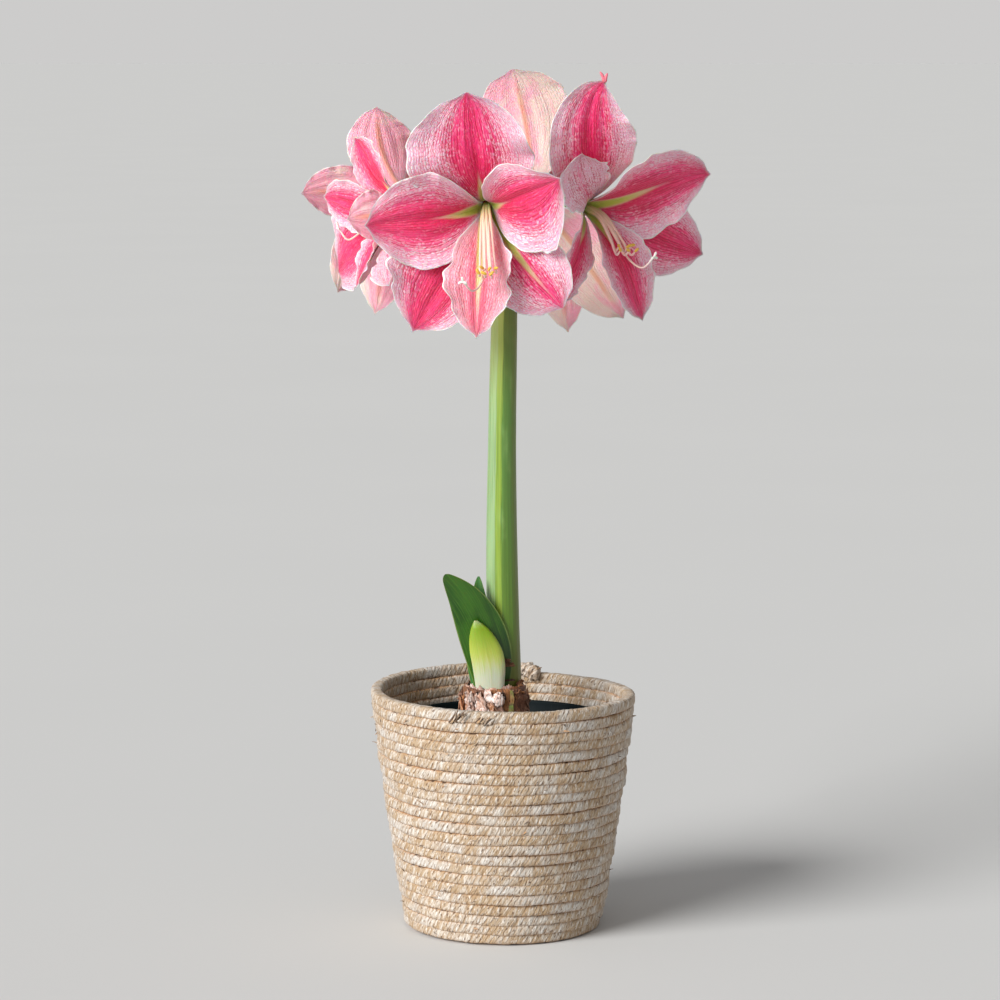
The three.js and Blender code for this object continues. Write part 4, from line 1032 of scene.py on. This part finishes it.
# clock: where a tepal leaves the tube, in degrees anticlockwise seen from the bloom's front, 0 at its right.
# open: the angle of its midrib to the bloom's axis at the base, the middle and the tip.
# tint: how salmon it is, how far its pale border reaches in, and how creamy its outer side is.
# Tepals are listed in turns, an outer one and then an inner one. What one doesn't say is taken from here:
TEPAL = dict(sway=0, twist=0, cup=(0.9, 0.45, 0.1), wave=0.06, ripple=0.02, flare=1.6, peak=0.56, tip=0.72,
             skew=0.0, throat=1.0, tint=(0.1, 0.0, 0.15), horned=False)
BLOOMS = {
    "front": dict(at=(-14, -66, 620), heading=-8, dip=16, root=-8, reach=74, drop=34, shift=9, spread=0.6,
                  hook=-16, tepals=[
        dict(clock=93, length=121, width=107, open=(26, 72, 86), cup=(0.9, 0.35, 0.2), peak=0.54, tip=0.62,
             skew=0.06, flare=1.3, wave=0.09, throat=0.75, tint=(0.0, 0.12, 0.15)),
        dict(clock=181, length=106, width=85, open=(20, 70, 76), peak=0.52, skew=-0.04),
        dict(clock=238, length=126, width=82, open=(26, 77, 95), tip=0.85, skew=-0.14, wave=0.1, ripple=0.1,
             tint=(0.1, -0.05, 0.4)),
        dict(clock=268, length=114, width=56, open=(20, 56, 80), wave=0.16, ripple=0.1, throat=2.0,
             tint=(0.85, 0.18, 0.4)),
        dict(clock=312, length=110, width=72, open=(26, 68, 90), tip=0.5, peak=0.6, throat=1.9,
             tint=(0.0, 0.26, 0.15)),
        dict(clock=32, length=102, width=85, open=(20, 57, 72), skew=-0.22, tip=0.95, throat=0.75,
             wave=0.1)]),
    "right": dict(at=(68, -28, 617), heading=50, dip=14, root=60, reach=52, drop=24, shift=0, spread=1,
                  hook=8, tepals=[
        dict(clock=124, sway=-52, length=126, width=80, open=(38, 92, 72), cup=(0.9, 0.4, 0.4), twist=-52,
             flare=1.1, peak=0.48, tip=0.7, throat=0.8, tint=(0.0, 0.06, 0.4), horned=True),
        dict(clock=143, sway=-24, length=87, width=50, open=(26, 85, 44), cup=(0.9, 0.6, 0.5),
             ripple=0.09, twist=-30, throat=0.6, tint=(0.0, 0.55, 0.3)),
        dict(clock=226, sway=10, length=96, width=42, open=(26, 72, 52)),
        dict(clock=286, length=106, width=58, open=(18, 55, 69)),
        dict(clock=344, length=120, width=66, open=(30, 66, 70)),
        dict(clock=42, sway=-33, length=110, width=82, open=(18, 60, 60), peak=0.42, flare=0.8,
             throat=1.35)]),
    "left": dict(at=(-80, 4, 614), heading=-80, dip=8, root=-80, reach=38, drop=9, shift=0, spread=1,
                 hook=-11, tepals=[
        dict(clock=111, length=77, width=54, open=(25, 69, 65), twist=30),
        dict(clock=166, length=94, width=48, open=(18, 51, 66)),
        dict(clock=212, length=114, width=80, open=(24, 58, 84)),
        dict(clock=262, length=80, width=48, open=(18, 50, 66)),
        dict(clock=324, length=98, width=46, open=(34, 70, 84), twist=-45, tint=(0.3, 0.6, 0.5)),
        dict(clock=2, length=56, width=44, open=(16, 8, -8), tint=(0.1, 0.0, -0.2))]),
    "back_left": dict(at=(-86, 86, 622), heading=-148, dip=4, root=-150, reach=46, drop=16, shift=0, spread=1,
                      hook=-11, tepals=[
        dict(clock=76, sway=7, length=84, width=60, open=(26, 86, 107), twist=-45, tint=(0.1, 0.0, -0.5)),
        dict(clock=150, length=90, width=60, open=(18, 52, 76)),
        dict(clock=212, length=96, width=60, open=(24, 66, 88)),
        dict(clock=268, sway=14, length=117, width=54, open=(18, 68, 80), twist=60),
        dict(clock=305, sway=-4, length=104, width=50, open=(26, 78, 90)),
        dict(clock=10, sway=-17, length=90, width=48, open=(18, 67, 77), tint=(0.1, 0.0, -0.3))]),
    "back_right": dict(at=(24, 68, 622), heading=164, dip=4, root=136, reach=58, drop=16, shift=0, spread=1,
                       hook=-11, tepals=[
        dict(clock=79, length=120, width=86, open=(28, 90, 112), peak=0.62, tip=0.5, tint=(0.1, 0.0, 0.45)),
        dict(clock=134, length=92, width=52, open=(18, 54, 76)),
        dict(clock=233, length=138, width=67, open=(26, 84, 99), tint=(0.1, 0.0, 0.5)),
        dict(clock=260, length=134, width=54, open=(18, 71, 83), tint=(0.1, 0.0, 0.5)),
        dict(clock=316, length=105, width=60, open=(24, 70, 90)),
        dict(clock=24, length=96, width=54, open=(18, 54, 76))]),
}


def through(three, t):
    """The quadratic through three values at 0, one half and 1."""
    a, b, c = three
    return a * (1 - t) * (1 - 2 * t) + b * 4 * t * (1 - t) + c * t * (2 * t - 1)


def tepal_blade(d, layer, seed):
    """A tepal's middle surface in its bloom's frame: X right, Y up, Z forwards. Also t, s and half widths."""
    draw = np.random.default_rng(seed)
    fine = np.linspace(0, 1, RIB_STEPS + 1)
    opening = np.radians(through(d["open"], fine))
    heading = polar(np.sin(opening), np.radians(d["clock"] + d["sway"] * fine ** 2), np.cos(opening))
    steps = (heading[1:] + heading[:-1]) / 2 * d["length"] / RIB_STEPS
    root = polar(TUBE_RADIUS, math.radians(d["clock"]), -1.0)
    rib = np.vstack([np.zeros(3), np.cumsum(steps, axis=0)]) + root
    t = 1 - (1 - np.linspace(0, 1, TEPAL_ROWS + 1)) ** 1.25
    rib, heading = sampled(rib, t), unit(sampled(heading, t))
    across = square_to(heading, polar(1.0, np.radians(d["clock"] + d["sway"] * t ** 2) + math.pi / 2, 0.0))
    inwards = np.cross(heading, across)
    t, s = t[:, None], np.linspace(-1, 1, TEPAL_COLUMNS + 1)
    s = np.sign(s) * (1 - (1 - np.abs(s)) ** 1.15)
    twist = np.radians(d["twist"] * t)
    across, inwards = (np.cos(twist) * across + np.sin(twist) * inwards,
                       np.cos(twist) * inwards - np.sin(twist) * across)
    half_width, peak = d["width"] / 2, d["peak"]
    narrow = TEPAL_FOOT / half_width
    swell = narrow + (1 - narrow) * np.sin(math.pi / 2 * np.clip(t / peak, 0, 1)) ** d["flare"]
    taper = np.cos(math.pi / 2 * np.clip((t - peak) / (1 - peak), 0, 1)) ** d["tip"]
    nib = 1 - 0.45 * ease(0.93, 0.985, t)
    w = np.maximum(0.5, half_width * np.where(t < peak, swell, taper) * nib)
    round_tube = w * np.cos(np.radians(through(d["open"], t))) / np.hypot(rib[:, :1], rib[:, 1:2])
    flat = ease(0.12, 0.5, t)
    bend = np.maximum(np.minimum(round_tube, 1.25) * (1 - flat) + through(d["cup"], t) * flat, 1e-3)
    side = 1 + d["skew"] * np.sign(s)
    width = w * np.sin(bend * s) / bend * side
    lift = w * (1 - np.cos(bend * s)) / bend * side
    middle_most = np.sin(math.pi * np.clip(t, 0, 1))
    ruffled = middle_most ** 0.7 * ease(0.15, 0.6, t)
    lift = lift + d["wave"] * half_width * ruffled * np.abs(s) ** 2.5 * np.sin(
        4.4 * math.pi * t + 1.9 * np.sign(s))
    late = middle_most ** 0.5 * ease(0.2, 0.45, t)
    turns, starts = draw.uniform(4.2, 6.4, 2), draw.uniform(0, 6.3, 4)
    for hand, on in enumerate((s > 0, s < 0)):
        run = TURN * turns[hand] * t
        frill = np.sin(run + starts[hand]) + 0.5 * np.sin(1.9 * run + starts[2 + hand])
        lift = lift + on * 1.15 * late * np.abs(s) ** 5 * frill
        width = width * (1 + on * d["ripple"] * late * np.abs(s) ** 3 * (
            np.sin(0.55 * run + starts[hand]) + 0.5 * np.sin(1.3 * run)))
    rib_groove = (0.8 + 1.5 * np.exp(-((t - 0.35) / 0.35) ** 2)) * np.exp(-np.abs(s * w) / 3.2)
    pleats = ruffled * (1 - s ** 2) * (0.75 * np.cos(TURN * (2.6 * s + 0.1 * starts[0]) + 2 * t)
                                       + 0.2 * np.cos(TURN * (6.3 * s + 0.1 * starts[1])))
    lift = lift - rib_groove * ease(0.0, 0.15, t) * (1 - ease(0.85, 1.0, t)) + pleats
    lift = lift + layer * (0.5 + 1.3 * ease(0.0, 0.3, t))
    return rib[:, None] + across[:, None] * width[..., None] + inwards[:, None] * lift[..., None], t, s, w


def bloom_frame(bloom):
    """The bloom's right, up and forward directions, as the rows of a matrix."""
    h, dip = math.radians(bloom["heading"]), math.radians(bloom["dip"])
    face = np.array((math.sin(h) * math.cos(dip), -math.cos(h) * math.cos(dip), -math.sin(dip)))
    right = np.array((math.cos(h), math.sin(h), 0))
    return np.array((right, np.cross(face, right), face))


petal_skin = new_finish("petal_skin", Roughness=0.46, Sheen_Weight=0.15, Sheen_Roughness=0.35,
                        Subsurface_Weight=0.35, Subsurface_Scale=0.001)
side, rows_on, half_width = mark(petal_skin, "blade", "Vector").split()
length, width, variety = mark(petal_skin, "size", "Vector").split()
salmon, border, cream = mark(petal_skin, "tint", "Vector").split()
off = abs(side)
from_rib = off * half_width
from_edge = half_width - from_rib
vein_place = joined(side * width * 0.5, rows_on * length, variety * 37.0)
drift = vector_calc("MULTIPLY_ADD", noise(vein_place, 1.0, scale=0.1, out="Color"), (2.2, 5.0, 0.0),
                    vein_place)
net, chance = (flow(drift.tree, "ShaderNodeTexVoronoi", {
    "Vector": drift * (0.74, 0.3, 1.0), "Scale": 1.0, "Randomness": 0.9}, out, feature=feature)
    for feature, out in (("DISTANCE_TO_EDGE", "Distance"), ("F1", "Color")))
lace = between(net, 0.0, 0.2)
vein_lines = calc("SINE", drift.split()[0] * 2.7)
streaks = noise(drift * (0.4, 0.03, 1.0), 3.0, 0.6)
fine = noise(drift * (0.46, 0.035, 1.0), 2.0, 0.55)
clouds = noise(vein_place * (0.06, 0.045, 1.0))

# inner side: crimson beside the midrib, hot pink beyond it, strewn with pale cells between fine veins, which
# crowd together towards a pale border with a white edge; the throat is green and has a pale stripe
outwards = off + (clouds - 0.5) * 0.45 + (streaks - 0.5) * 0.4 + border
core = (between(off + border + (streaks - 0.5) * 0.35, 0.52, 0.08)
        * between(rows_on, 0.1, 0.26) * between(rows_on, 0.92, 0.45, 1.0, 0.45))
cell_share = between(outwards, 0.1, 0.9, 1.3, 0.22) - chance.split()[0] + vein_lines * 0.16
rows_in = rows_on / mark(petal_skin, "throat")
rib_width = between(rows_in, 0.1, 0.42, 1.3, 6.0)
stripe = between(from_rib / rib_width + (fine - 0.5) * 0.6, 1.1, 0.3) * between(rows_in, 0.54, 0.28)
depth_in = rows_in + between(from_rib, 1.2, 7.0) * 0.42 + (fine - 0.5) * 0.06
inner_side = painted(
    (255, 70, 138),
    (between(outwards, 0.4, 0.9), (252, 168, 198)),
    (core * 0.95, (238, 2, 96)),
    (between(rows_on, 0.62, 0.3) * between(off, 0.7, 0.15, 0.75), (226, 0, 84)),
    (between(fine + vein_lines * 0.12, 0.52, 0.36, 0.85) * between(off, 0.98, 0.5, 1.0, 0.28), (208, 0, 70)),
    (between(cell_share, -0.4, 0.9) * lace * (0.95 - core * 0.7),
     mixed(between(outwards, 0.25, 0.85), (255, 178, 202), (255, 226, 236))),
    (salmon * 0.6, (240, 140, 150)),
    (stripe * 0.85, (250, 214, 208)),
    (between(depth_in, 0.44, 0.26, 0.85), (226, 206, 126)),
    (between(depth_in, 0.32, 0.16), (200, 210, 84)),
    (between(from_edge, 5.0, 1.0, 0.35), (253, 224, 234)),
    (between(from_edge, 1.4, 0.5, 0.9), (254, 246, 246)),
)
# outer side: cream and pink with fine veins and an orange midrib that turns green at the base
outer_side = painted(
    (240, 212, 202),
    (between(clouds - side * 0.2 - cream * 0.3, 0.26, 0.5), (252, 166, 190)),
    (between(fine, 0.48, 0.68, 0.32), (250, 140, 170)),
    (lace * 0.3, (254, 236, 230)),
    (between(from_rib, 3.4, 0.6) * between(rows_on, 1.0, 0.7) * 0.6, (228, 150, 96)),
    (between(rows_on, 0.16, 0.02), (176, 188, 96)),
    (between(from_edge, 1.5, 0.4, 0.75), (254, 242, 238)),
)
wear(petal_skin, mixed(mark(petal_skin, "inner"), outer_side, inner_side),
     between(streaks, 0.3, 0.7, 0.58, 0.4), lace * 0.3 + vein_lines * 0.1 + fine, 0.9)

tube_outside = [(3.0, -TUBE_LENGTH), (3.9, -TUBE_LENGTH + 0.6), (4.4, -9), (4.9, -5), (5.8, -1), (6.7, 1.2)]
tube_inside = [(6.3, 1.9), (5.2, -1), (4.3, -5), (3.2, -8.5), (1.0, -9)]
tube_sides = np.repeat([0] * len(tube_outside) + [1] * len(tube_inside), TUBE_SIDES)
plain = dict(size=(100.0, 60.0, 0.5), throat=1.0)
for index, (name, bloom) in enumerate(BLOOMS.items(), 1):
    axes = bloom_frame(bloom)
    points, faces = turned(tube_outside + tube_inside, TUBE_SIDES)
    petals = Bodies().add(points @ axes + bloom["at"], faces, blade=(0.45, 0.05, 40.0), tint=(0.0, 0.0, 0.5),
                          inner=tube_sides, **plain)
    for number, shape in enumerate(bloom["tepals"]):
        d, seed = {**TEPAL, **shape}, 10 * index + number
        grid, t, s, w = tepal_blade(d, (-1, 1)[number % 2], seed)
        grid = grid @ axes + bloom["at"]
        thickness = 0.28 + 0.32 * (1 - s ** 2) + 0.8 * np.exp(-(s * w / 3) ** 2) * (1 - t) ** 2
        add_sheet(petals, grid, thickness * np.clip(8 * (1 - t), 0.5, 1), blade=xyz(s, t, w),
                  inner=[1.0, 0.0], size=(d["length"], d["width"], seed * 0.137), throat=d["throat"],
                  tint=d["tint"])
        if d["horned"]:
            tip = grid[-1, TEPAL_COLUMNS // 2]
            for aside, high in ((-4.0, 6.5), (2.2, 5.2)):
                horn = flowing_line([tip - (0, 0, 2.5), tip + (0.4 * aside, -0.6, 0.35 * high),
                                     tip + (aside, -0.5, high)], 9)
                petals.add(*swept(horn, (1.1, 1.5, 1.6, 1.5, 1.3, 1.3, 1.2, 0.9, 0.3), 10),
                           blade=(0.5, 0.9, 9.0), inner=1.0, tint=(1.0, 0.25, 0.5), **plain)
    hand_over(petals.piece("petals_" + name, petal_skin), "tepal_pink", "tepals_" + name)

# ---------------------------------------------------------------------------------------------------------
# Stamens and style. Six slender filaments leave the throat together and turn up at their ends, each with a
# small anther of yellow pollen, and a longer style below them ends in a white stigma with three lobes.
# ---------------------------------------------------------------------------------------------------------
FILAMENT_STEPS, FILAMENT_SIDES, STYLE_SIDES = 40, 10, 12
ANTHER_LENGTH, ANTHER_RADIUS = 5.6, 1.25
STYLE_LEAD = 22  # how far the style reaches beyond the stamens

stamen_skin = new_finish("stamen_skin", Roughness=0.5, Subsurface_Weight=0.25, Subsurface_Scale=0.002)
travelled, anther, stigma = mark(stamen_skin, "way", "Vector").split()
place = object_place(stamen_skin)
dust = noise(place, 3.0, 0.6, scale=2.2)
stamen_colour = painted(
    (178, 192, 84),
    (between(travelled, 0.1, 0.55), (244, 206, 192)),
    (between(travelled, 0.4, 0.95, 0.6), (246, 208, 206)),
    (between(noise(place, scale=0.35), 0.45, 0.65, 0.3), (236, 196, 176)),
    (anther, mixed(between(dust, 0.35, 0.65), (214, 160, 44), (246, 214, 92))),
    (stigma, mixed(between(dust, 0.4, 0.6, 0.3), (252, 248, 240), (240, 214, 206))),
)
wear(stamen_skin, stamen_colour, None, dust, 0.2)


def pod(middle, heading, length, radius):
    """A small swollen body with a furrow, such as an anther."""
    t = np.linspace(-1, 1, 11)
    angle = angles(12)
    furrow = 1 - 0.22 * np.exp(-((angle - math.pi) / 0.5) ** 2) - 0.15 * np.exp(-(angle / 0.5) ** 2)
    swell = np.sqrt(np.clip(1.02 - t ** 2, 0, 1))[:, None]
    return swept(middle + np.outer(t, unit(np.array(heading))) * length / 2, radius * swell * furrow, 12)


for name, bloom in BLOOMS.items():
    drop, reach, shift, hook = bloom["drop"], bloom["reach"], bloom["shift"], bloom["hook"]
    parts = Bodies()
    t = np.linspace(0, 1, FILAMENT_STEPS)
    for i in range(6):
        x, y = -2.2 + 0.88 * i, (1.6 if i % 2 else -0.2)
        aside = shift + bloom["spread"] * (-7, -4.2, -1.5, 1.5, 4.2, 7)[i]
        far = reach + (0, -5, 3, -2, 4, -4)[i]
        turned_out = (-1 if i < 3 else 1) * bloom["spread"]
        line = flowing_line([(0.6 * x, 0.6 * y, -7), (x, y, 3),
                             (x + 0.35 * aside, y - 0.12 * drop, far * 0.38),
                             (x + 0.75 * aside, y - 0.72 * drop, far * 0.75),
                             (x + aside, y - drop - 2, far * 0.94),
                             (x + aside + 0.4 * turned_out, y - drop + 2.4, far - 0.2)], FILAMENT_STEPS)
        parts.add(*swept(line, np.interp(t, (0, 0.5, 0.9, 1), (1.4, 1.25, 0.95, 0.4)), FILAMENT_SIDES),
                  way=np.repeat(xyz(t, 0.0, 0.0), FILAMENT_SIDES, axis=0))
        lean = (turned_out, 0.9 - 0.3 * (i % 3), 0.5 * (i % 2))
        parts.add(*pod(line[-1] + (0.8 * turned_out, 0.9, 0.3), lean, ANTHER_LENGTH, ANTHER_RADIUS),
                  way=(1.0, 1.0, 0.0))
    lead = reach + STYLE_LEAD
    line = flowing_line([(0, -1.2, -7), (0, -2.3, 3), (shift * 0.3, -2.3 - 0.2 * drop, lead * 0.38),
                         (shift + 0.27 * hook, -1.05 * drop - 4, lead * 0.72),
                         (shift + 0.64 * hook, -drop - 9, lead * 0.9), (shift + hook, -drop + 2, lead)],
                        FILAMENT_STEPS)
    parts.add(*swept(line, np.interp(t, (0, 0.5, 0.95, 1), (1.0, 0.9, 0.8, 0.9)), STYLE_SIDES),
              way=np.repeat(xyz(t, 0.0, ease(0.8, 1.0, t)), STYLE_SIDES, axis=0))
    end, ahead = line[-1], unit(line[-1] - line[-3])
    for i in range(3):
        out = polar(1.0, math.radians(90 + 120 * i), 0.0)
        lobe = flowing_line([end - 0.6 * ahead, end + 1.2 * out + 0.8 * ahead, end + 3.0 * out + 1.3 * ahead,
                             end + 4.2 * out + 0.4 * ahead], 9)
        parts.add(*swept(lobe, (0.7, 0.9, 1.0, 1.05, 1.1, 1.1, 1.0, 0.8, 0.3), 10), way=(1.0, 0.0, 1.0))
    parts.points = [points @ bloom_frame(bloom) + bloom["at"] for points in parts.points]
    hand_over(parts.piece("stamen_group_" + name, stamen_skin), "stamen_cream", "stamens_" + name)

# ---------------------------------------------------------------------------------------------------------
# Flower stems. Each bloom hangs on a round green stem that rises from the top of the stalk and bends
# outwards, and swells just behind the bloom into the three-sided seed case.
# ---------------------------------------------------------------------------------------------------------
STEM_STEPS, STEM_SIDES = 70, 30
STEM_RING = 6.4  # how far from the middle of the stalk's top the stems leave it
for name, bloom in BLOOMS.items():
    axes = bloom_frame(bloom)
    r = math.radians(bloom["root"])
    foot = np.array((1.2 + STEM_RING * math.sin(r), -STEM_RING * math.cos(r), STALK_TOP))
    end = np.array(bloom["at"]) - axes[2] * (TUBE_LENGTH - 0.4)
    reach = np.linalg.norm(end - foot)
    t = np.linspace(0, 1, STEM_STEPS)[:, None]
    line = (foot * (1 - t) ** 3 + (foot + (0, 0, 0.38 * reach)) * 3 * t * (1 - t) ** 2
            + (end - axes[2] * 0.5 * reach) * 3 * t ** 2 * (1 - t) + end * t ** 3)
    run = np.concatenate([[0], np.cumsum(np.linalg.norm(np.diff(line, axis=0), axis=1))])[:, None]
    long = run[-1, 0]
    left = long - run
    girth = np.interp(left, (0, 3.5, 6, 9, 12, 15, 19, 23, long * 0.56, long * 0.9, long),
                      (3.9, 4.6, 5.05, 5.2, 5.05, 4.6, 3.4, 3.05, 3.0, 3.2, 3.4))
    angle = angles(STEM_SIDES)
    lobes = 0.07 * np.exp(-((left - 9) / 7) ** 2) * np.cos(3 * angle) + 0.012 * np.cos(15 * angle)
    points, faces = swept(line, girth * (1 + lobes), STEM_SIDES)
    stem = Bodies().add(points, faces, along=polar(3.5, angle, 440 + run))
    hand_over(stem.piece("flower_stem_" + name, stalk_skin), "pedicel_green", "pedicel_" + name)

# ---------------------------------------------------------------------------------------------------------
# Camera, light and floor. A pale studio floor, one large soft light from the left, and a paler one all round.
# The camera stands three metres off, a little above the blooms, and looks slightly down.
# ---------------------------------------------------------------------------------------------------------
FLOOR_REACH = 150.0  # metres
SKY_LOW, SKY_HIGH = 0.62, 0.3  # how bright the studio's walls are at the floor and overhead
CAMERA_PLACE, CAMERA_DIP, CAMERA_LENS = (-0.003, -3.0, 0.751), 7.285, 127.94
WINDOW_SIDE, WINDOW_POWER, WINDOW_SPREAD = (-0.685, -0.575, 0.447), 4.2, 35

eye = bpy.data.cameras.new("camera")
eye.sensor_width = 36
eye.lens = CAMERA_LENS
eye.clip_end = 400
camera = show("camera", eye)
camera.location = CAMERA_PLACE
camera.rotation_euler = (math.radians(90 - CAMERA_DIP), 0, 0)
bpy.context.scene.camera = camera
bpy.context.scene.view_settings.view_transform = "Standard"

lamp = bpy.data.lights.new("window", "SUN")
lamp.angle = math.radians(WINDOW_SPREAD)
lamp.energy = WINDOW_POWER
lamp.color = (1.0, 0.985, 0.965)
x, y, z = WINDOW_SIDE
show("window", lamp).rotation_euler = (math.acos(z / math.hypot(x, y, z)), 0, math.atan2(y, x) + math.pi / 2)

sky = bpy.data.worlds.new("studio")
sky.use_nodes = True
upward = flow(sky.node_tree, "ShaderNodeTexCoord", out="Generated").split()[2]
feed(sky.node_tree.nodes["Background"], {"Color": dye(253, 252, 251),
                                         "Strength": between(upward, 0.02, 0.5, SKY_HIGH, SKY_LOW)})
bpy.context.scene.world = sky

floor_finish = new_finish("studio_floor", Roughness=1.0, Specular_IOR_Level=0.0)
floor_noise = noise(object_place(floor_finish), 3.0, scale=0.0015)
wear(floor_finish, mixed(floor_noise, (211, 212, 212), (214, 215, 215)))
floor_mesh = bpy.data.meshes.new("floor")
corners = [(x * FLOOR_REACH, y * FLOOR_REACH, 0) for x, y in ((-1, -1), (1, -1), (1, 1), (-1, 1))]
floor_mesh.from_pydata(corners, [], [(0, 1, 2, 3)])
floor_mesh.materials.append(floor_finish)
floor = show("floor", floor_mesh)
